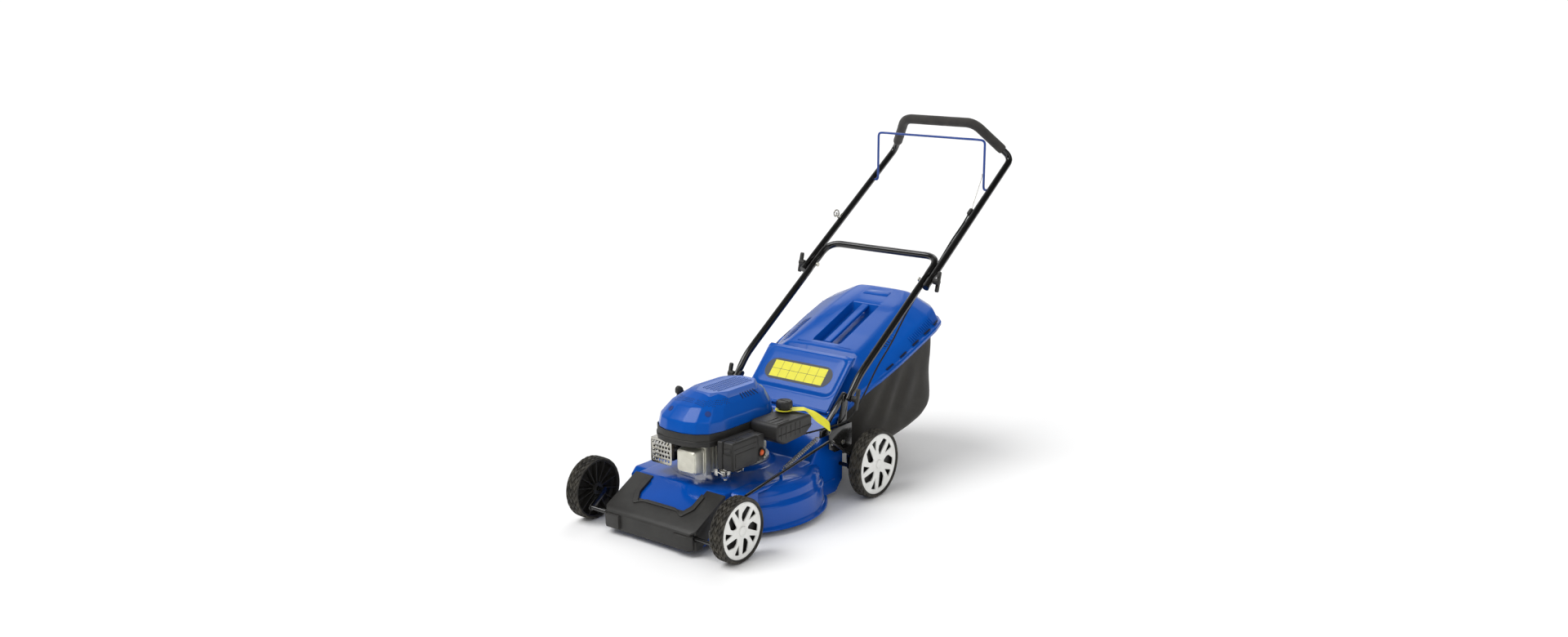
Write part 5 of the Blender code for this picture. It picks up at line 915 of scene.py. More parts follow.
def cowl():
    """The blue cowl: rings of the housing's outline drawn in towards its crown, softened at every crease,
    with an inner skin; louvres, dimples and the slotted plateau lie on it."""
    wall = 2.5 * MM
    levels = list(zip(COWL_HEIGHTS, COWL_SHARES))[::-1]

    def skin(inset, drop):
        net = np.stack([cowl_ring(z - drop * (z > 0.30), share, inset) for z, share in levels])
        return soften_rows(soften(net, 5 * MM, 4, closed=True), 5 * MM)

    def drawn_in(ring, shares):
        return np.stack([ring.mean(0) + (ring - ring.mean(0)) * share for share in shares])

    outer, inner = skin(0.0, 0.0), skin(wall, wall)
    roof, ceiling = drawn_in(outer[-1], (0.5, 0.0)), drawn_in(inner[-1], (0.0, 0.5))
    net = np.concatenate([ceiling, inner[::-1], outer, roof])
    parts = [surface(net, wrap_columns=True), *plateau(), *louvres(), *dimples()]
    # Painted light on the cowl: the plateau's paler blue is a painted reflection; the near-black vents and
    # dots and the darker blue backing and plugs are painted shade
    uses = "blue_plastic vent_dark plateau slot_blue"
    piece("cowl_moulding", parts, uses, "deck", ["engine_cowl"], 34)


def plateau():
    """A raised grille with eight corners on the cowl's roof, its blue painted paler as a reflection of the
    sky: rows of slanting slots over a backing painted darker as the shade under it, and a skirt that slopes
    down into the skin."""
    top, x0 = 0.3862, COWL_CROWN[0]
    half = ((0.027, -0.166), (0.052, -0.122), (0.052, -0.006), (0.026, 0.030))
    rim = np.array([(x0 + x, y) for x, y in half] + [(x0 - x, y) for x, y in half[::-1]])
    middle = rim.mean(0)
    soft = bent_loop(np.c_[rim, np.zeros(8)], 5 * MM, 4)[:, :2]
    levels = ((0.97, top - 2.5 * MM), (1.0, top - 0.2 * MM), (1.008, top - 0.6 * MM), (1.10, 0.3690),
              (1.09, 0.3650))
    skirt = [np.c_[middle + (soft - middle) * share, np.full(len(soft), z)] for share, z in levels]
    holes = []
    for column in range(24):
        for row in range(7):
            start = np.array((x0 - 0.044 + row * 0.0135, -0.134 + column * 0.0064 + (row % 2) * 3.2 * MM))
            end = start + (0.0085, -0.0050)
            if inside(rim, start, 8 * MM) and inside(rim, end, 8 * MM):
                holes.append(stadium(start, end, 2.9 * MM, 5))
    panel = middle + (soft - middle) * 0.985
    return [
        (*surface(skirt, wrap_columns=True), 2),
        (*plate([panel, *holes], 2.0 * MM, "Z", top - 0.9 * MM, 0.4 * MM), 2),
        (*plate([middle + (soft - middle) * 0.95], 0.8 * MM, "Z", top - 2.6 * MM, 0.2 * MM), 3),
    ]


def inside(polygon, point, margin):
    """Whether a point lies inside a convex polygon by at least a margin."""
    start, end = polygon, np.roll(polygon, -1, 0)
    edge = unit(end - start)
    away = edge[:, 0] * (point[1] - start[:, 1]) - edge[:, 1] * (point[0] - start[:, 0])
    return bool(np.all(away < -margin) or np.all(away > margin))


def louvres():
    """Six slanting vents down each flank, under the rear of the plateau, each a near-black bar of painted
    shadow.
    """
    parts = []
    for side in (-1, 1):
        for slot in range(6):
            turn = math.radians(-22 + 10.5 * slot)
            places = []
            for share, lean in ((0.64, -0.055), (0.71, 0.0), (0.79, 0.055)):
                heading = turn + lean if side > 0 else math.pi - turn - lean
                places.append(on_cowl(*cowl_place(heading, share), -0.2 * MM))
            parts.append((*domed(spline(places, 3), 1.7 * MM, 8), 1))
    return parts


def dimples():
    """Two patches of small holes before the plateau, each a near-black dot of painted shadow, and a blind
    plug in front of each in the darker blue of painted shade.
    """
    dot = np.array([(0, 0.3), (1.5, 0.3), (1.5, -2)]) * MM
    plug = np.array([(0, 0.5), (6.0, 0.4), (6.6, 1.0), (8.2, 0.9), (9.0, -2)]) * MM
    parts = []
    for side in (-1, 1):
        for column in range(12):
            for row in range(14):
                x = COWL_CROWN[0] + side * (0.006 + column * 5.6 * MM + (row % 2) * 2.8 * MM)
                y = -0.205 + row * 5.6 * MM
                if 0.66 < cowl_share(x, y) < 0.775 and y < -0.118:
                    parts.append((*spun(dot, on_cowl(x, y), "Z", 8), 1))
        at = on_cowl(*cowl_place(math.radians(-90 + side * 19), 0.865))
        leans = [on_cowl(*(at[:2] + way)) - on_cowl(*(at[:2] - way)) for way in np.eye(2) * 5 * MM]
        slope = Vector(unit(np.cross(*leans))).to_track_quat("Z", "Y").to_matrix().to_4x4()
        moulded = spun(plug, (0, 0, 0), "Z", 28)
        parts.append((*turned(moulded, Matrix.Translation(at) @ slope), 3))
    return parts


def guard():
    """The silencer's hood: two perforated plates and a top, folded from one sheet."""
    low, high = np.array((-0.122, -0.226, 0.172)), np.array((-0.044, -0.122, 0.2445))
    sheet, edge, pitch, rim = 1.6 * MM, 0.4 * MM, 0.0125, 0.011

    def perforated(a0, a1, b0, b1):
        """A plate's border and its holes: rows of round ones set off in turn, and a top row of slots."""
        outlines = [bent_loop([(a0, b0, 0), (a1, b0, 0), (a1, b1, 0), (a0, b1, 0)], 9 * MM, 6)[:, :2]]
        rows, columns = int((b1 - b0 - 0.012) / pitch), int((a1 - a0 - 0.010) / pitch)
        for row in range(rows + 1):
            for column in range(columns + 1):
                a = a0 + rim + column * (a1 - a0 - 2 * rim) / columns + (row % 2) * 2.5 * MM - 1.2 * MM
                b = b0 + rim + row * (b1 - b0 - 2 * rim) / rows
                slot = stadium((a - 2 * MM, b - 3 * MM), (a + 2 * MM, b + 3 * MM), 3.6 * MM, 5)
                outlines.append(slot if row == rows else circle((a, b), 3.6 * MM, 12))
        return outlines

    left, front = low[0] + 1 * MM, low[1] + 1 * MM
    roof = [(left, front), (high[0], front), (high[0], high[1]), (left, high[1])]
    parts = [
        plate(perforated(low[0], high[0], low[2], high[2]), sheet, "Y", low[1] + sheet / 2, edge),
        plate(perforated(low[1], high[1], low[2], high[2]), sheet, "X", low[0] + sheet / 2, edge),
        plate([roof], sheet, "Z", high[2] - sheet / 2, edge),
    ]
    piece("silencer_hood", parts, "bright_steel", "deck", ["muffler_guard"], 40)


def governor():
    """Small parts under the air box: a plated bracket, its screws, a governor arm, a thin return spring,
    the float bowl with its nut, neck and lever, and a bolted angle beside the crankcase."""

    def pin(start, end, radius_mm):
        return domed(resample([start, end], 0.01), radius_mm * MM, 10)

    def screw(x, y, z, radius_mm):
        return bolt(radius_mm * MM, (radius_mm - 1) * MM, (z, z + 3 * MM, z + 4 * MM), (x, y, 0))

    bowl = [(0, 0.1640), (0.0042, 0.1640), (0.0050, 0.1668), (0.0132, 0.1680), (0.0154, 0.1712),
            (0.0158, 0.1850), (0.0172, 0.1862), (0.0172, 0.1900), (0, 0.1900)]
    nut = [(0, 0.1600), (0.005, 0.1600), (0.005, 0.1650), (0, 0.1650)]
    t = np.linspace(0, 14 * TURN, 14 * 8 + 1)
    advance, wind = np.linspace(-0.186, -0.150, len(t)), 3 * MM
    coil = np.stack([0.118 + wind * np.cos(t), advance, 0.186 + wind * np.sin(t)], 1)
    parts = [
        block((0.088, -0.150, 0.180), (0.150, -0.147, 0.196), 0.6 * MM),
        block((0.100, -0.168, 0.1795), (0.146, -0.148, 0.1820), 0.6 * MM),
        pin((0.097, -0.160, 0.188), (0.140, -0.186, 0.190), 1.4),
        pin((0.110, -0.090, 0.176), (0.150, -0.150, 0.189), 1.2),
        screw(0.112, -0.160, 0.182, 4.6),
        screw(0.136, -0.158, 0.182, 4.6),
        screw(0.104, -0.126, 0.190, 4.6),
        spun(bowl, (0.124, -0.194, 0), "Z", 32),
        spun(nut, (0.124, -0.194, 0), "Z", 6),
        block((0.113, -0.205, 0.1885), (0.136, -0.182, 0.1955), 0.8 * MM),
        block((0.1005, -0.213, 0.1740), (0.1120, -0.2105, 0.1930), 0.6 * MM),
        pin((0.101, -0.215, 0.189), (0.134, -0.2125, 0.181), 1.5),
        block((0.0950, -0.0420, 0.1760), (0.1180, -0.0395, 0.2020), 0.6 * MM),
        block((0.0950, -0.0420, 0.1760), (0.1180, -0.0180, 0.1785), 0.6 * MM),
        screw(0.101, -0.028, 0.1785, 4.2),
        screw(0.112, -0.026, 0.1785, 4.2),
        sweep(coil, 0.5 * MM, 6, across=(0, 1, 0)),
    ]
    piece("governor_bracket", parts, "bright_steel", "deck")


def tank():
    """The fuel tank with ribs on its flank and its roof, and the cap with its twelve lobes and its grip."""
    low, high = np.array((0.1084, -0.070, 0.238)), np.array((0.208, 0.090, 0.300))
    ribs = []
    for rib in range(5):
        y = low[1] + 0.016 + rib * 0.021
        foot = (high[0] - 3 * MM, y, low[2] + 0.016)
        ribs.append(block(foot, (high[0] + 1.3 * MM, y + 6 * MM, high[2] - 0.010), 1.2 * MM))
    for rib in range(3):
        x = low[0] + 0.048 + rib * 0.018
        ribs.append(block((x, low[1] + 0.014, high[2] - 2 * MM), (x + 6 * MM, -0.008, high[2] + 1.2 * MM)))
    line = [(high[0] + 0.2 * MM, y, 0.268) for y in (low[1] + 0.004, high[1] - 0.004)]
    ribs.append(domed(resample(line, 0.02), 1.6 * MM, 8))
    rounded("fuel_tank", 2.0, "black_plastic", 40, 3, ribs)
    x, y = FILLER
    base, top = 0.3109, 0.3319
    skirt = [(0, base), (0.0215, base), (0.0232, base + 1 * MM), (0.0234, base + 0.010),
             (0.0228, top - 3 * MM), (0.0206, top - 0.6 * MM), (0.0180, top), (0.0165, top - 0.2 * MM),
             (0.0155, top - 1.4 * MM), (0, top - 1.2 * MM)]
    long, wide = 0.013, 2.2 * MM
    bar = block((x - long, y - wide, top - 2 * MM), (x + long, y + wide, top + 0.2 * MM), 0.8 * MM)
    cap = spun(skirt, (x, y, 0), "Z", 144, lobes=12, lobe_depth=-0.55 * MM)
    piece("fuel_cap_moulding", [cap, bar], "black_plastic", "fuel_cap", ["fuel_cap"], 50)


def tag():
    """A card that lies flat round the filler neck, then bends down over the tank's corner and rolls on its
    length: both angles grow smoothly with the distance from the neck, and the tip is a little curled."""
    neck_z = 0.30525
    heading, droop = math.radians(42), math.radians(37)
    rims = [circle(FILLER, radius, 32) for radius in (0.0265, 0.0168)]
    parts = [plate(rims, 1.0 * MM, "Z", neck_z, 0.25 * MM)]
    s = np.linspace(0, 0.1310, 40)
    fold, bend = 0.041, 0.008
    turn = droop * step(s, fold - bend, fold + bend) + math.radians(4) * step(s, 0.08, 0.131)
    ds = s[1] - s[0]
    run = 0.019 + np.concatenate([[0], np.cumsum(np.cos(turn[1:]) * ds)])
    fall = -np.concatenate([[0], np.cumsum(np.sin(turn[1:]) * ds)])
    half = np.interp(s, (0, 0.006, 0.127, 0.131), (0.0150, 0.0180, 0.0180, 0.0145))
    v = np.linspace(-1, 1, 9)
    curl = 0.9 * MM * (v**2)[None] * step(s, 0.05, 0.13)[:, None]
    roll = math.radians(34) * step(s, 0.040, 0.085)[:, None]
    width = half[:, None] * v[None]
    height = fall[:, None] + curl + width * np.sin(roll)
    local = np.stack([run[:, None] + 0 * v[None], width * np.cos(roll), height], -1)
    thick = np.array((0, 0, 0.45 * MM))
    net = np.concatenate([local + thick, (local - thick)[:, ::-1]], axis=1)
    move = Matrix.Translation((*FILLER, neck_z)) @ Matrix.Rotation(heading, 4, "Z")
    parts.append(turned(surface(net, wrap_columns=True, caps=True), move))
    piece("hang_tag_card", parts, "yellow_card", "deck", ["hang_tag"], 40)


# Starter


def build_starter(looks):
    """The pull grip, and the rope that runs from its housing to it."""
    rest, outlet = np.array(((-0.144, -0.086, 0.318), (-0.134, -0.090, 0.2914)))
    along = unit(np.array((-UPPER_FOOT[0], ROPE_GUIDE_Y, handle_z(ROPE_GUIDE_Y) + 0.020)) - rest)
    across = unit(np.cross(np.cross((0, 1, 0), along), along))
    u = np.linspace(-1, 1, 33)
    bar = rest + along * 0.0195 + across * (0.0285 * u)[:, None] - along * (0.0035 * u**4)[:, None]
    girth = np.sqrt(np.clip(1 - u**6, 0.0, 1)) * (0.0125 + 0.9 * MM * np.cos(3.5 * math.pi * u))
    girth = np.maximum(girth, 2.5 * MM)
    parts = [sweep(bar, np.stack([girth * 0.92, girth], 1), 20, across=along)]
    stem = rest + along * np.array((-0.0005, 0.0, 0.003, 0.010, 0.018))[:, None]
    parts.append(sweep(stem, np.array((0.0070, 0.0084, 0.0088, 0.0110, 0.0118)), 24, across=across))
    piece("recoil_handle", parts, "black_plastic", "recoil_grip", ["recoil_grip"], 45)
    # The rope's last 10 mm lie along the pull
    per_span = 12
    line = spline([outlet, outlet + (0, 0, 0.010), rest - along * 0.008, rest + along * 0.002], per_span)
    braid = sweep(line, 2.2 * MM, 12, across=(1, 0, 0))
    rope = piece("recoil_rope_braid", braid, "rope", "deck", ["recoil_rope"], 60,
                 blend=("deck", "recoil_grip", in_row(line[-1 - per_span]), in_row(line[-1])))
    collar = [(0, 0.2885), (0.0068, 0.2885), (0.0068, 0.2915), (0.0050, 0.2930), (0.0034, 0.2932),
              (0.0034, 0.2885)]
    piece("rope_ferrule", spun(collar, (*outlet[:2], 0), "Z", 24), "bright_steel", "deck")


# Handle


def tube_sizes(path, pivots):
    """A tube's half axes along its path: round, and pressed flatter near each pivot."""
    size, flat_reach = np.full((len(path), 2), TUBE_RADIUS), 0.030
    for pivot in pivots:
        near = 1 - step(np.linalg.norm(path - pivot, axis=1), flat_reach * 0.5, flat_reach)
        size[:, 0] -= 2.6 * MM * near
        size[:, 1] += 1.2 * MM * near
    return size


def build_handle(looks):
    """Both tubes of the handle, their knobs and bolts, and what the upper one carries."""
    start = (LOWER_X, LOWER_PIVOT[0] - 0.004, LOWER_PIVOT[1] - 0.005)
    half = [start, (LOWER_X, 0.300, handle_z(0.300) - 0.004), (LOWER_X, 0.330, handle_z(0.330)),
            (LOWER_X, *CROSSBAR)]
    lower = resample(bent(mirrored(half), 0.050, 14), 0.006)
    foot = (UPPER_FOOT[0], UPPER_FOOT[1], handle_z(UPPER_FOOT[1]))
    loop = resample(bent(mirrored([foot, HANDLE_TOP, LOOP_CORNER]), 0.030, 14), 0.006)
    feet = [np.array((side * LOWER_X, *LOWER_PIVOT)) for side in (-1, 1)]
    for body, line, x, pivots in (
        ("lower_handle", lower, LOWER_X, feet),
        ("upper_handle", loop, upper_x(UPPER_PIVOT_Y), []),
    ):
        joints = [on_tube(side * x, UPPER_PIVOT_Y) for side in (-1, 1)]
        tube = sweep(line, tube_sizes(line, pivots + joints), 24, across=(0, -HANDLE_SLOPE, 1))
        piece(body + "_tube", tube, "black_paint", body, [body], 60)
    grip(loop)
    bail()
    for node in ("lower_knob_left", "lower_knob_right", "upper_knob_left", "upper_knob_right"):
        rounded(node, 1.8, "black_plastic", 45, 3)
    head = [(0, 0.1930), (0.0070, 0.1930), (0.0070, 0.1970), (0, 0.1970)]
    joint = (0, UPPER_PIVOT_Y, handle_z(UPPER_PIVOT_Y))
    heads = [spun(head, joint, "X", 24, side) for side in (-1, 1)]
    piece("pivot_bolt_heads", heads, "bright_steel", "lower_handle")
    guide()
    rounded("cable_stop", 1.2, "black_plastic", 45, 3)


def grip(loop):
    """A foam sleeve along the loop between its two bends, with slightly swollen, uneven girth."""
    gripped = loop[(loop[:, 1] < HANDLE_TOP[1] - 0.020) & (loop[:, 2] > HANDLE_TOP[2] + 0.006)]
    gripped = resample(gripped, 0.004)
    s = np.linspace(0, 1, len(gripped))
    girth = 0.0160 - 0.9 * MM * (1 - np.sqrt(np.clip(np.minimum(s, 1 - s) / 0.012, 0, 1))) * 2
    girth = np.maximum(girth, TUBE_RADIUS + 0.3 * MM) + 0.12 * MM * np.sin(s * 41) * np.sin(s * 17)
    sleeve = sweep(gripped, girth, 28, across=(0, -HANDLE_SLOPE, 1))
    piece("grip_sleeve", sleeve, "black_foam", "upper_handle", ["handle_grip"], 60)


def bail():
    """The bail's wire: a high U across the handle, with its feet turned out into the tubes."""
    y, z = BAIL_PIVOT_Y, handle_z(BAIL_PIVOT_Y)
    foot_x, top = upper_x(y) - TUBE_RADIUS - 0.8 * MM, z + 0.159
    half = [(foot_x, y, z), (BAIL_X, y, z), (BAIL_X, y, top), (BAIL_X - 0.030, y - 0.006, top + 0.002),
            (BAIL_X - 0.060, y, top + 0.001)]
    line = resample(bent(mirrored(half), 0.013, 8), 0.004)
    wire = sweep(line, 3.8 * MM, 14, across=(0, 1, 0))
    piece("bail_wire", wire, "bail_paint", "bail", ["bail"], 60)


def guide():
    """The rope guide: a run along the tube, then one and a quarter turns of a pigtail eye."""
    along = unit(np.array((0, 1, HANDLE_SLOPE)))
    root = on_tube(-upper_x(ROPE_GUIDE_Y), ROPE_GUIDE_Y, TUBE_RADIUS + 1.8 * MM)
    eye = root + np.array((0.004, -0.014, 0.018))
    turn = TURN * np.arange(11) / 8 - math.pi / 2
    coil = eye + np.stack([-0.0085 * np.arange(11) / 8, 0.0105 * np.cos(turn), 0.0105 * np.sin(turn)], 1)
    line = spline(np.vstack([root + along * 0.022, root + along * 0.010, root, coil]), 5)
    wire = sweep(line, 2.8 * MM, 10, across=(1, 0, 0))
    piece("rope_guide_wire", wire, "bright_steel", "upper_handle", ["rope_guide"], 60)


# Cables


def stop_x():
    """How far out the cable's stop sits, inside the upper tube."""
    return upper_x(CABLE_STOP_Y) - TUBE_RADIUS - 0.0065


def cable_route():
    """The brake cable's places from its stop, down the tubes, over the bracket and round the tank."""
    reach = STOP_HALF * unit(np.array((0, 1, HANDLE_SLOPE)))[1]
    beside = [(0.2160, 0.870, 0.001), (0.2150, 0.815, 0.0), (0.2080, 0.775, -0.012), (0.2050, 0.735, -0.019),
              (0.2050, 0.660, -0.0205), (0.2060, 0.560, -0.026), (0.2100, 0.460, -0.042),
              (0.2120, 0.380, -0.048)]
    web = 0.2340
    below = [(0.2120, 0.325, 0.283), (0.2110, 0.280, 0.250), (0.2100, 0.245, web + 0.001),
             (0.2080, 0.205, web), (0.2000, 0.158, web), (0.1650, 0.110, 0.224), (0.1200, 0.050, 0.214),
             (0.0960, 0.030, 0.212), (0.0804, 0.030, 0.212)]
    top = on_tube(stop_x(), CABLE_STOP_Y - reach, 0.002)
    return np.array([top, *[on_tube(*place) for place in beside], *below])


def build_cables(looks):
    """The sheathed cable in two stretches that meet halfway down the lower handle, and the bare wire
    from the bail to the cable's stop."""
    route = cable_route()
    per_span = 8
    line = spline(route, per_span)
    fold = np.array([on_tube(0.205, UPPER_PIVOT_Y + reach, -0.02) for reach in (0.085, -0.085)])
    upper = ["brake_cable_upper", "brake_cable_lower"]
    for name, first, last, bodies, bend, nodes in (
        ("handle", 0, 7, ("upper_handle", "lower_handle"), fold, upper),
        ("engine", 7, 17, ("lower_handle", "deck"), route[[8, 11]], ["brake_cable_engine"]),
    ):
        part = line[first * per_span : last * per_span + 1]
        tube = sweep(part, 2.6 * MM, 12, across=(1, 0, 0))
        sheath = piece("brake_cable_sheath_" + name, tube, "black_rubber", bodies[0], nodes, 60,
                       blend=(*bodies, *in_row(bend)))
    start = np.array((BAIL_X - 0.0054, BAIL_PIVOT_Y, handle_z(BAIL_PIVOT_Y) + 0.045))
    end = on_tube(stop_x(), CABLE_STOP_Y + STOP_HALF * 0.83, 0.004)
    hook = [start + (0.0054, 0, 0.0040), start + (0.0, 0.0, 0.0052), start + (-0.001, 0, 0.003), start]
    line = np.vstack([spline(hook, 5)[:-1], resample([start, end], 0.006)])
    wire = sweep(line, 1.2 * MM, 8, across=(1, 0, 0))
    strand = piece("brake_wire_strand", wire, "bright_steel", "upper_handle", ["brake_wire"], 60,
                   blend=("upper_handle", "bail", in_row(end), in_row(start)))


# Bag


def lid_sections():
    """Along the lid: y, then half width and height of its rim, of its shoulder and of its crown."""
    return np.array([
        (0.2644, 0.150, 0.2330, 0.138, 0.2380, 0.100, 0.2440),
        (0.300, 0.172, 0.2500, 0.152, 0.2620, 0.110, 0.2800),
        (0.345, 0.196, 0.2890, 0.172, 0.3020, 0.120, 0.3270),
        (0.388, 0.216, 0.3180, 0.186, 0.3360, 0.130, 0.3660),
        (0.410, 0.224, 0.3290, 0.190, 0.3540, 0.130, 0.3940),
        (0.500, 0.234, 0.3640, 0.198, 0.3920, 0.125, 0.4280),
        (0.620, 0.236, 0.4060, 0.200, 0.4380, 0.115, 0.4760),
        (0.700, 0.234, 0.4320, 0.200, 0.4660, 0.105, 0.5060),
        (0.748, 0.222, 0.4440, 0.190, 0.4800, 0.092, 0.5240),
        (0.782, 0.190, 0.4480, 0.160, 0.4820, 0.082, 0.5140),
        (0.800, 0.140, 0.4480, 0.120, 0.4680, 0.070, 0.4860),
    ])


def lid_at(y):
    """The lid's section at any place along it."""
    table = lid_sections()
    return np.array([np.interp(y, table[:, 0], table[:, k]) for k in range(table.shape[1])])


RECESS_FRONT, RECESS_REAR, RECESS_DEPTH = 0.440, 0.650, 0.030


def lid_net():
    """The lid's control net: its sections, with rows at the recess's ends and columns at its sides."""
    front, rear = RECESS_FRONT, RECESS_REAR
    steps = (front - 0.002, front + 0.005, rear - 0.005, rear + 0.002, 0.395, 0.404)
    places = sorted([*lid_sections()[:, 0], *steps])
    rows = []
    for y in places:
        rim_x, rim_z, side_x, side_z, top_x, top_z = lid_at(y)[1:]
        ridge = top_z + 0.002
        sunk = ridge - (RECESS_DEPTH if front < y < rear else 0.0)
        half = [
            (0.0, y, sunk), (0.0480, y, sunk), (0.0520, y, ridge - 0.0004), (0.0560, y, ridge - 0.0004),
            (top_x, y, top_z), (side_x, y, side_z), (rim_x - 0.012, y, rim_z + 0.004),
            (rim_x - 0.003, y, rim_z + 0.003), (rim_x, y, rim_z), (rim_x, y, rim_z - 0.010),
        ]
        rows.append([(-a, b, c) for a, b, c in half[:0:-1]] + half)
    return np.array(rows)


def build_lid(looks):
    """The lid: its control net with soft corners across and along, turned in one wall thick, with the
    carrying bar, the louvres on its shoulders and the slots along its rim."""
    reach_mm = np.array((3, 3, 2, 2, 12, 9, 4, 2, 2, 3))
    reach = np.concatenate([reach_mm[:0:-1], reach_mm]) * MM
    net = soften_rows(soften(lid_net(), reach), 6 * MM)
    parts = [surface(net), surface(bridged(net[-1], 13))]
    piece("lid_moulding", parts, "blue_plastic", "grass_bag", ["bag_lid"], 38, wall=2.4 * MM)
    bar, half = [], 0.0130
    for y in np.linspace(RECESS_FRONT + 0.002, RECESS_REAR - 0.002, 12):
        top = lid_at(y)[6] + 0.0005
        bar.append([(-half, y, top - 0.010), (-half, y, top), (half, y, top), (half, y, top - 0.010)])
    details = [surface(soften(bar, 4 * MM, closed=True), wrap_columns=True, caps=True), *lid_details()]
    # The second material is painted shadow: near-black strips for the rim's slots and the louvres' gaps
    piece("lid_details", details, "blue_plastic vent_dark", "grass_bag")


def bridged(row, columns):
    """Straight lines from each point of a mirrored row's first half to its fellow in the other half."""
    half = len(row) // 2 + 1
    t = np.linspace(0, 1, columns)[None, :, None]
    left, right = row[:half, None], row[::-1][:half, None]
    return left * (1 - t) + right * t


def skin_frame(y, share, side, panel):
    """A place on the lid's flank between two of its lines, the direction along it and the one out of it."""
    inner, outer = panel

    def place(row):
        a, b = (np.array((row[k], row[0], row[k + 1])) for k in (inner, outer))
        return a + (b - a) * share, unit(b - a)

    (at, out), (next_at, _) = place(lid_at(y)), place(lid_at(y + 0.01))
    along = unit(next_at - at)
    up = unit(np.cross(along, out))
    flip = np.array((side, 1, 1))
    up = up if up[2] > 0 else -up
    return at * flip, along * flip, up * flip


def strip_on_lid(y, share, side, panel, sizes_mm):
    """A small rounded bar laid on the lid's flank: its length, width, rise and edge."""
    length, width, rise, edge = np.array(sizes_mm) * MM
    at, along, up = skin_frame(y, share, side, panel)
    axes = np.c_[along, np.cross(up, along), up, at]
    matrix = Matrix(np.vstack([axes, (0, 0, 0, 1)]).tolist())
    bar = block((-length / 2, -width / 2, -1.5 * MM), (length / 2, width / 2, rise), edge, 2)
    return turned(bar, matrix)


def lid_details():
    """Bars on the flanks: slots in the rim's flange, where the bag's frame clips in, laid as near-black
    strips of painted shadow;
    a row of short louvres behind the step, each with a near-black strip of painted shadow for the gap beside
    it; fins down the flank, towards the rear."""
    parts = []
    shoulder, rim = (5, 3), (3, 1)
    for side in (-1, 1):
        for y in (0.462, 0.528, 0.594, 0.660, 0.716):
            parts.append((*strip_on_lid(y, 0.72, side, rim, (34, 5, 0.35, 0.3)), 1))
        for number in range(11):
            y = 0.452 + number * 0.0105
            parts.append((*strip_on_lid(y, 0.55, side, shoulder, (4.5, 30, 1.5, 0.9)), 0))
            parts.append((*strip_on_lid(y + 5.2 * MM, 0.55, side, shoulder, (4.0, 28, 0.2, 0.1)), 1))
        for number in range(14):
            y = 0.585 + number * 0.0090
            parts.append((*strip_on_lid(y, 0.36, side, rim, (2.4, 22, 1.0, 0.8)), 0))
    return parts + crown_panel()


def crown_panel():
    """A low raised panel across the lid behind its recess, and a seam in front of it."""
    parts = []
    for y, half, length, rise in ((0.712, 0.046, 0.026, 1.6 * MM), (0.424, 0.100, 0.0030, 0.5 * MM)):
        crown_z = lid_at(y)[6]
        along = unit(np.array((0, 0.01, lid_at(y + 0.01)[6] - crown_z)))
        axes = np.c_[(1, 0, 0), along, (0, -along[2], along[1]), (0, y, crown_z + 2 * MM)]
        matrix = Matrix(np.vstack([axes, (0, 0, 0, 1)]).tolist())
        bar = block((-half, -length / 2, -2 * MM), (half, length / 2, rise), 1.2 * MM, 2)
        parts.append(turned(bar, matrix))
    return parts


def tub_sections():
    """Along the bag: y, half width, bottom height and top height, which follows the lid's rim."""
    return np.array([
        (0.2644, 0.146, 0.1240, 0.2225), (0.300, 0.166, 0.1080, 0.2395), (0.345, 0.186, 0.1020, 0.2785),
        (0.410, 0.198, 0.0980, 0.3180), (0.530, 0.201, 0.1080, 0.3635), (0.620, 0.200, 0.1200, 0.3950),
        (0.700, 0.196, 0.1360, 0.4210), (0.752, 0.184, 0.1520, 0.4330), (0.784, 0.160, 0.1720, 0.4370),
        (0.794, 0.136, 0.2000, 0.4370),
    ])


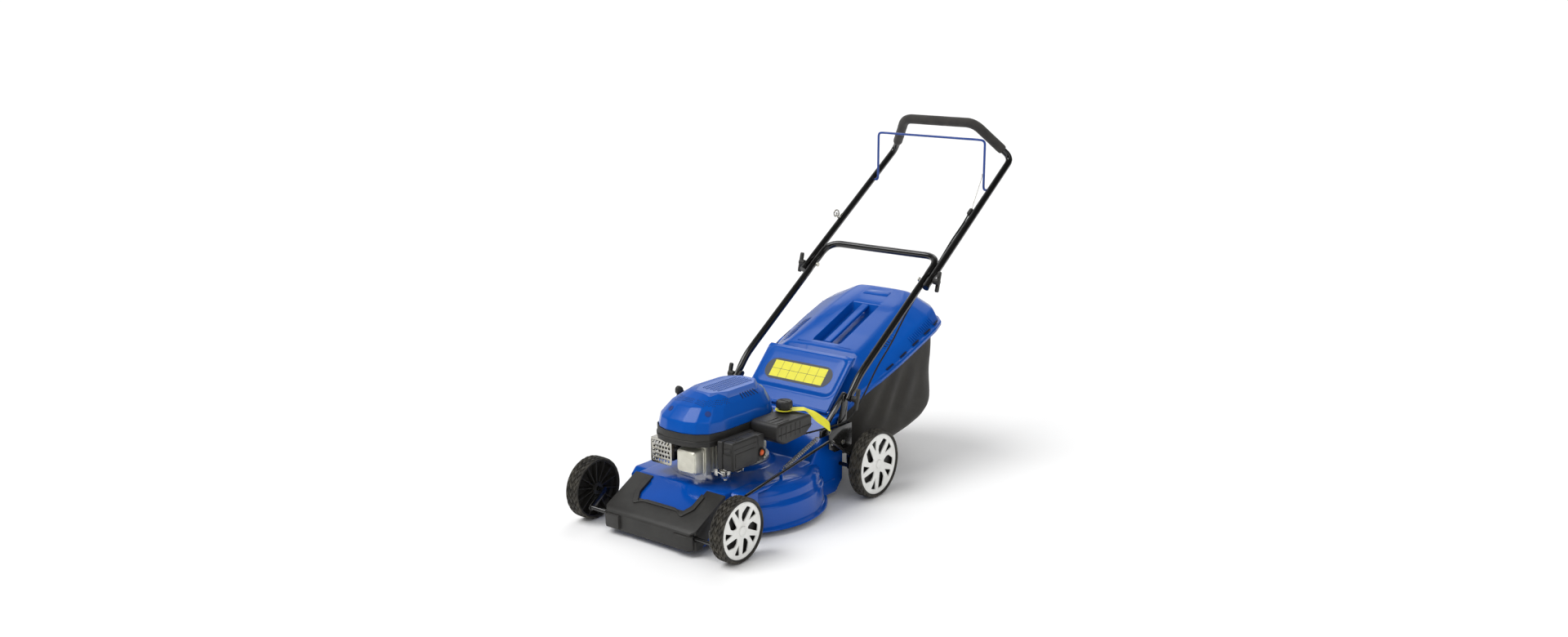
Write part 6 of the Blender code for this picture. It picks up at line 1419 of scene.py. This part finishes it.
def build_bag(looks):
    """The fabric tub: U-shaped sections along its frame, whose walls pull in and whose floor sags by sine
    waves that vanish at the seams, with long soft creases, and a closed rear end."""
    table = tub_sections()
    y = np.linspace(table[0, 0], table[-1, 0], 96)
    half, low, high = (np.interp(y, table[:, 0], table[:, k]) for k in (1, 2, 3))
    evened = np.ones(9) / 9
    half, low, high = (np.convolve(np.pad(v, 4, mode="edge"), evened, "valid") for v in (half, low, high))
    high = high + 7 * MM
    corner = np.minimum(0.034, (high - low) * 0.3)
    rows = []
    for i in range(len(y)):
        side = np.linspace(high[i], low[i] + corner[i], 16)
        turn = np.linspace(0, math.pi / 2, 8)[1:-1]
        left = np.c_[np.full(16, half[i]), side]
        bend = np.c_[half[i] - corner[i] * (1 - np.cos(turn)), low[i] + corner[i] * (1 - np.sin(turn))]
        floor = np.c_[np.linspace(half[i] - corner[i], -half[i] + corner[i], 25), np.full(25, low[i])]
        ring = np.vstack([left, bend, floor, bend[::-1] * (-1, 1), left[::-1] * (-1, 1)])
        rows.append(np.c_[ring[:, 0], np.full(len(ring), y[i]), ring[:, 1]])
    net = np.array(rows)
    v = np.clip((net[..., 2] - low[:, None]) / (high - low)[:, None], 0, 1)
    s = ((y - y[0]) / (y[-1] - y[0]))[:, None]
    ends, walls = np.sin(np.pi * np.clip(s, 0, 1)), np.sin(np.pi * v)
    hang = ends**0.7 * walls
    crease = 2.6 * MM * np.sin(11 * v - 17 * s + 2 * np.sin(7 * s)) * ends**0.5 * walls
    crease += 1.8 * MM * np.sin(29 * s + 7 * v + 3 * np.sin(5 * v)) * walls**2
    sign = np.sign(net[..., 0]) * step(np.abs(net[..., 0]) / half[:, None], 0.80, 0.98)
    net[..., 0] -= sign * (looks.fabric_sag * hang + crease)
    flat = 1 - step(np.abs(net[..., 0]) / half[:, None], 0.6, 0.95)
    net[..., 2] -= flat * (1 - step(v, 0.0, 0.1)) * 4 * MM * ends
    # The rear wall, bulging a little
    rear = bridged(net[-1], 25)
    down, over = np.meshgrid(*(np.linspace(0, 1, count) for count in rear.shape[:2]), indexing="ij")
    swell = 5 * MM + 1.5 * MM * np.sin(9 * down + 7 * over)
    rear[..., 1] += np.sin(np.pi * over) * np.sin(np.pi * down) * swell
    cloth = piece("bag_cloth", [surface(net), surface(rear)], "black_fabric", "grass_bag", ["bag_body"],
                  70, wall=0.9 * MM)
    # The tape: along both top edges, along both lower corners, round the rear and round the front hoop
    drop, flat_tape = (0, 0, -2 * MM), np.array([(1.6 * MM, 6 * MM)])
    seams = [
        sweep(resample(line, 0.008), girth, sides, across)
        for line, girth, sides, across in (
            (net[:, 0] + drop, flat_tape, 10, (1, 0, 0)),
            (net[:, -1] + drop, flat_tape, 10, (1, 0, 0)),
            (net[2:-1, 19], 1.5 * MM, 8, (1, 0, 0)),
            (net[2:-1, -20], 1.5 * MM, 8, (1, 0, 0)),
            (net[-1], 1.8 * MM, 8, (0, 1, 0)),
            (net[1], 2.6 * MM, 10, (0, 1, 0)),
        )
    ]
    binding = piece("bag_binding", seams, "binding", "grass_bag", smooth_deg=60)


# Flap


def build_flap(looks):
    """The flap: a rounded slab along its slope whose top swells like a pillow, with a raised edge, a dark
    oblong film let into it and a grid of plain yellow cells."""
    slope = math.radians(42.5)
    along = np.array((0, math.cos(slope), math.sin(slope)))
    above = np.array((0, -along[2], along[1]))
    length, half = 0.193, 0.158

    def place(u, x, v):
        """The point at u along the slope, x across it and v above it."""
        u, x, v = (np.asarray(value)[..., None] for value in (u, x, v))
        return np.array((0, *FLAP_HINGE)) + np.array((1, 0, 0)) * x + along * u + above * v

    def top(u, x):
        base = np.interp(u, (0, 0.012, length - 0.012, length), (0.0045, 0.0052, 0.0140, 0.0100))
        corner = 0.030
        du = np.maximum(np.abs(u - 0.116) - 0.074 + corner, 0)
        dx = np.maximum(np.abs(x) - half + 0.006 + corner, 0)
        margin = corner - np.hypot(du, dx)
        pillow = 4.5 * MM * step(margin, 0.0, 0.014) + 1.5 * MM * step(margin, 0.010, 0.060)
        groove = 0.8 * MM * np.exp(-((margin / 1.6 / MM) ** 2))
        return base + pillow - groove

    x = np.concatenate([[-half], np.linspace(-half + 1 * MM, half - 1 * MM, 81), [half]])
    u = np.concatenate([[0.002], np.linspace(0.003, length - 1 * MM, 61), [length]])
    U, X = np.meshgrid(u, x, indexing="ij")
    rim = (np.abs(X) >= half - 1e-6) | (U <= 0.0025) | (U >= length - 1e-6)
    skin = place(U, X, top(U, X) - 1.2 * MM * rim)
    under = place(U, X, np.interp(U, (0, length), (-0.0038, 0.0035)))[:, ::-1]
    barrel, pin = ([(-reach, *FLAP_HINGE), (reach, *FLAP_HINGE)] for reach in (half, half + 8.3 * MM))
    parts = [
        surface(np.concatenate([skin, under], axis=1), wrap_columns=True, caps=True),
        domed(resample(barrel, 0.02), 5.0 * MM, 16),
        (*sweep(resample(pin, 0.05), 2.0 * MM, 12), 3),
    ]

    def film(outline_u, outline_x, rise, slot):
        """A thin film that follows the pillow: a fan of rings from its middle to its outline."""
        centre_u, centre_x = outline_u.mean(), outline_x.mean()
        rings = []
        for share in (1.0, 1.0, 0.75, 0.5, 0.25, 0.0):
            du, dx = centre_u + (outline_u - centre_u) * share, centre_x + (outline_x - centre_x) * share
            rings.append(place(du, dx, top(du, dx) + rise))
        rings[0] = rings[0] - above * 1.5 * MM
        return (*surface(np.array(rings), wrap_columns=True), slot)

    oblong = stadium((-0.088, 0.0), (0.088, 0.0), 0.072, 16)
    mid_u = 0.104
    parts.append(film(oblong[:, 1] + mid_u, oblong[:, 0], 0.35 * MM, 1))
    columns, rows = 6, 2
    cell_x, cell_u, gap = 0.198 / columns, 0.058 / rows, 1.2 * MM
    for column in range(columns):
        for row in range(rows):
            x0 = (column - columns / 2) * cell_x + gap / 2
            u0 = mid_u + (row - rows / 2) * cell_u + gap / 2
            x1, u1 = x0 + cell_x - gap, u0 + cell_u - gap
            cell = bent_loop([(x0, u0, 0), (x1, u0, 0), (x1, u1, 0), (x0, u1, 0)], 1 * MM, 3)
            parts.append(film(cell[:, 1], cell[:, 0], 0.6 * MM, 2))
    uses = "blue_plastic label_dark yellow_card bright_steel"
    piece("flap_moulding", parts, uses, "rear_flap", ["rear_flap"], 45)


# Stage


def build_stage(looks):
    """A white floor under an even sky, a broad soft key from the upper left and two weaker lights; gloss
    mirrors a pale backdrop behind the mower and a dark room before it."""
    world = bpy.data.worlds.new("studio")
    bpy.context.scene.world = world
    world.use_nodes = True
    tree = world.node_tree
    tree.nodes.clear()
    path = add(tree, "LightPath").outputs
    rays = {0: path["Is Camera Ray"], 1: path["Is Transmission Ray"]}
    seen = add(tree, "Math", rays, operation="MAXIMUM")
    sight = add(tree, "TexCoord").outputs["Generated"]
    heading = math.radians(CAMERA_HEADING_DEG)
    ahead = add(tree, "VectorMath", {0: sight, 1: (-math.sin(heading), math.cos(heading), 0.1)},
                operation="DOT_PRODUCT")
    backdrop = {"Value": ahead.outputs["Value"], "From Min": 0.35, "From Max": 0.8, "To Min": 0.04,
                "To Max": 0.7}
    mirror = add(tree, "MapRange", backdrop)
    level = add(tree, "Mix", {0: path["Is Glossy Ray"], 2: looks.sky_level, 3: mirror.outputs[0]})
    lit = add(tree, "Background", {"Color": (1, 1, 1, 1), "Strength": level.outputs[0]})
    white = add(tree, "Background", {"Color": (1, 1, 1, 1), "Strength": 1.0})
    mix = add(tree, "MixShader", {0: seen.outputs[0], 1: lit.outputs[0], 2: white.outputs[0]})
    add(tree, "OutputWorld", {"Surface": mix.outputs[0]})
    far = 160
    corners = [[(-far, -far, 0), (far, -far, 0)], [(-far, far, 0), (far, far, 0)]]
    floor = mesh_object("floor", [surface(corners)], 30)
    floor.location.z = -0.2 * MM
    floor.data.materials.append(finish("paper_backdrop_white", "#FBFBFB", blotch=0.8, gloss=(0.85, 0.95),
                                       height_mm=0.01, specular_ior_level=0.1))
    for name, place, spread_deg, share in (
        ("key", (-1.4, -2.0, 3.4), 38, 1.0),
        ("fill", (3.4, -1.0, 2.2), 50, 0.22),
        ("rim", (-1.5, 2.8, 2.6), 40, 0.28),
    ):
        data = bpy.data.lights.new(name, "SUN")
        data.energy, data.angle = looks.key_power * share, math.radians(spread_deg)
        lamp = bpy.data.objects.new(name, data)
        lamp.location = place
        lamp.rotation_euler = (Vector((0, 0, 0)) - Vector(place)).to_track_quat("-Z", "Y").to_euler()
        bpy.context.scene.collection.objects.link(lamp)
    scene = bpy.context.scene
    scene.view_settings.view_transform = "Standard"
    eye = bpy.data.objects.new("camera", bpy.data.cameras.new("camera"))
    eye.location = CAMERA_PLACE
    eye.rotation_euler = (math.radians(90 - CAMERA_DIP_DEG), 0, math.radians(CAMERA_HEADING_DEG))
    eye.data.lens, eye.data.sensor_width = CAMERA_LENS_MM, SENSOR_MM
    scene.collection.objects.link(eye)
    scene.camera = eye


# Add-on


def colour_property(name, hex_colour, description):
    """A colour that the panel shows."""
    return bpy.props.FloatVectorProperty(name=name, description=description, subtype="COLOR", size=3, min=0,
                                         max=1, default=linear(hex_colour))


def length_property(name, default, low, high, description):
    """A length in metres."""
    return bpy.props.FloatProperty(name=name, description=description, default=default, min=low, max=high,
                                   unit="LENGTH")


def count_property(name, default, low, high, description):
    """A whole number."""
    return bpy.props.IntProperty(name=name, description=description, default=default, min=low, max=high,
                                 subtype="UNSIGNED")


def level_property(name, default, description):
    """A strength of light."""
    return bpy.props.FloatProperty(name=name, description=description, default=default, min=0, max=4,
                                   subtype="FACTOR")


class MowerLooks(bpy.types.PropertyGroup):
    """Sizes and colours of the mower's looks."""

    deck_blue: colour_property("Deck paint", "#044CAA", "Colour of the enamel on the deck")
    plastic_blue: colour_property("Blue plastic", "#0652AE", "Colour of the cowl, the lid and the flap")
    moulded_black: colour_property("Black plastic", "#242321",
                                   "Colour of the bumper and the engine's covers")
    trim_white: colour_property("Wheel trims", "#EFEFEB", "Colour of the spoked wheel trims")
    fabric_black: colour_property("Bag fabric", "#2A2825", "Colour of the bag's woven cloth")
    label_yellow: colour_property("Label", "#EAE336", "Colour of the tag and the flap's label")
    primer_orange: colour_property("Primer", "#E4622C", "Colour of the primer bulb")
    tread_lugs: count_property("Tread lugs", 27, 8, 60, "Number of lugs round a tyre")
    tread_depth: length_property("Tread depth", 0.0045, 0, 0.006, "Depth of the tyres' grooves")
    wheel_ribs: count_property("Wheel ribs", 14, 0, 40, "Ribs inside each wheel")
    fabric_sag: length_property("Fabric sag", 0.006, 0, 0.02, "How far the bag's walls pull in")
    weave_pitch: length_property("Weave pitch", 0.0013, 0.0005, 0.005, "Distance between the cloth's yarns")
    sky_level: level_property("Sky", 0.52, "Strength of the even light from all round")
    key_power: level_property("Key light", 1.8, "Strength of the main lamp")


class Builder:
    """What every operator of this panel shares."""

    bl_options = {"REGISTER", "UNDO"}
    build = None

    def execute(self, context):
        for step_of_work in type(self).build:
            step_of_work(context.scene.mower_looks)
        return {"FINISHED"}


def fill_materials(looks):
    """Makes the materials from the panel's colours."""
    MATERIALS.update(make_materials(looks))


def dress_nodes(looks):
    """Gives every CAD node the material of its slot, whether it still shows or a piece stands for it."""
    for thing in frame["nodes"].values():
        for place in thing.material_slots:
            slot = (place.material.name if place.material else "").split(".")[0]
            place.material = MATERIALS.get(slot, MATERIALS["black_plastic"])


class MOWER_OT_materials(Builder, bpy.types.Operator):
    """Makes the materials and gives them to the CAD nodes"""

    bl_idname, bl_label = "mower.materials", "Materials"
    build = (fill_materials, dress_nodes)


class MOWER_OT_wheels(Builder, bpy.types.Operator):
    """Builds the tyres, wheel centres and spoked trims"""

    bl_idname, bl_label = "mower.wheels", "Wheels"
    build = (build_wheels,)


class MOWER_OT_deck(Builder, bpy.types.Operator):
    """Builds the deck, the bumper, the brackets and the spring"""

    bl_idname, bl_label = "mower.deck", "Deck"
    build = (build_deck, build_spring)


class MOWER_OT_engine(Builder, bpy.types.Operator):
    """Builds the engine, its covers, tank and tag"""

    bl_idname, bl_label = "mower.engine", "Engine"
    build = (build_engine,)


class MOWER_OT_handle(Builder, bpy.types.Operator):
    """Builds the handle, the starter and the brake cable"""

    bl_idname, bl_label = "mower.handle", "Handle"
    build = (build_starter, build_handle, build_cables)


class MOWER_OT_bag(Builder, bpy.types.Operator):
    """Builds the bag's lid, its cloth and the flap"""

    bl_idname, bl_label = "mower.bag", "Grass bag"
    build = (build_lid, build_bag, build_flap)


class MOWER_OT_stage(Builder, bpy.types.Operator):
    """Sets up the floor, the light and the camera"""

    bl_idname, bl_label = "mower.stage", "Stage"
    build = (build_stage,)


class MOWER_PT_panel(bpy.types.Panel):
    """The mower's sizes, colours and build steps"""

    bl_idname, bl_label = "MOWER_PT_panel", "Lawn mower"
    bl_space_type, bl_region_type, bl_category = "VIEW_3D", "UI", "Mower"

    def draw(self, context):
        looks = context.scene.mower_looks
        for name in MowerLooks.__annotations__:
            self.layout.prop(looks, name)
        for operator in OPERATORS:
            self.layout.operator(operator.bl_idname)


OPERATORS = (
    MOWER_OT_stage,
    MOWER_OT_materials,
    MOWER_OT_wheels,
    MOWER_OT_deck,
    MOWER_OT_engine,
    MOWER_OT_handle,
    MOWER_OT_bag,
)


def register():
    """Adds the panel, its operators and its properties to Blender."""
    for kind in (MowerLooks, *OPERATORS, MOWER_PT_panel):
        bpy.utils.register_class(kind)
    bpy.types.Scene.mower_looks = bpy.props.PointerProperty(type=MowerLooks)


def unregister():
    """Takes out what register added."""
    del bpy.types.Scene.mower_looks
    for kind in (MOWER_PT_panel, *reversed(OPERATORS), MowerLooks):
        bpy.utils.unregister_class(kind)


def main():
    """Runs every build step."""
    register()
    for operator in OPERATORS:
        family, name = operator.bl_idname.split(".")
        result = getattr(getattr(bpy.ops, family), name)()
        if result != {"FINISHED"}:
            raise RuntimeError(operator.bl_label + " didn't finish")


if __name__ == "__main__":
    main()
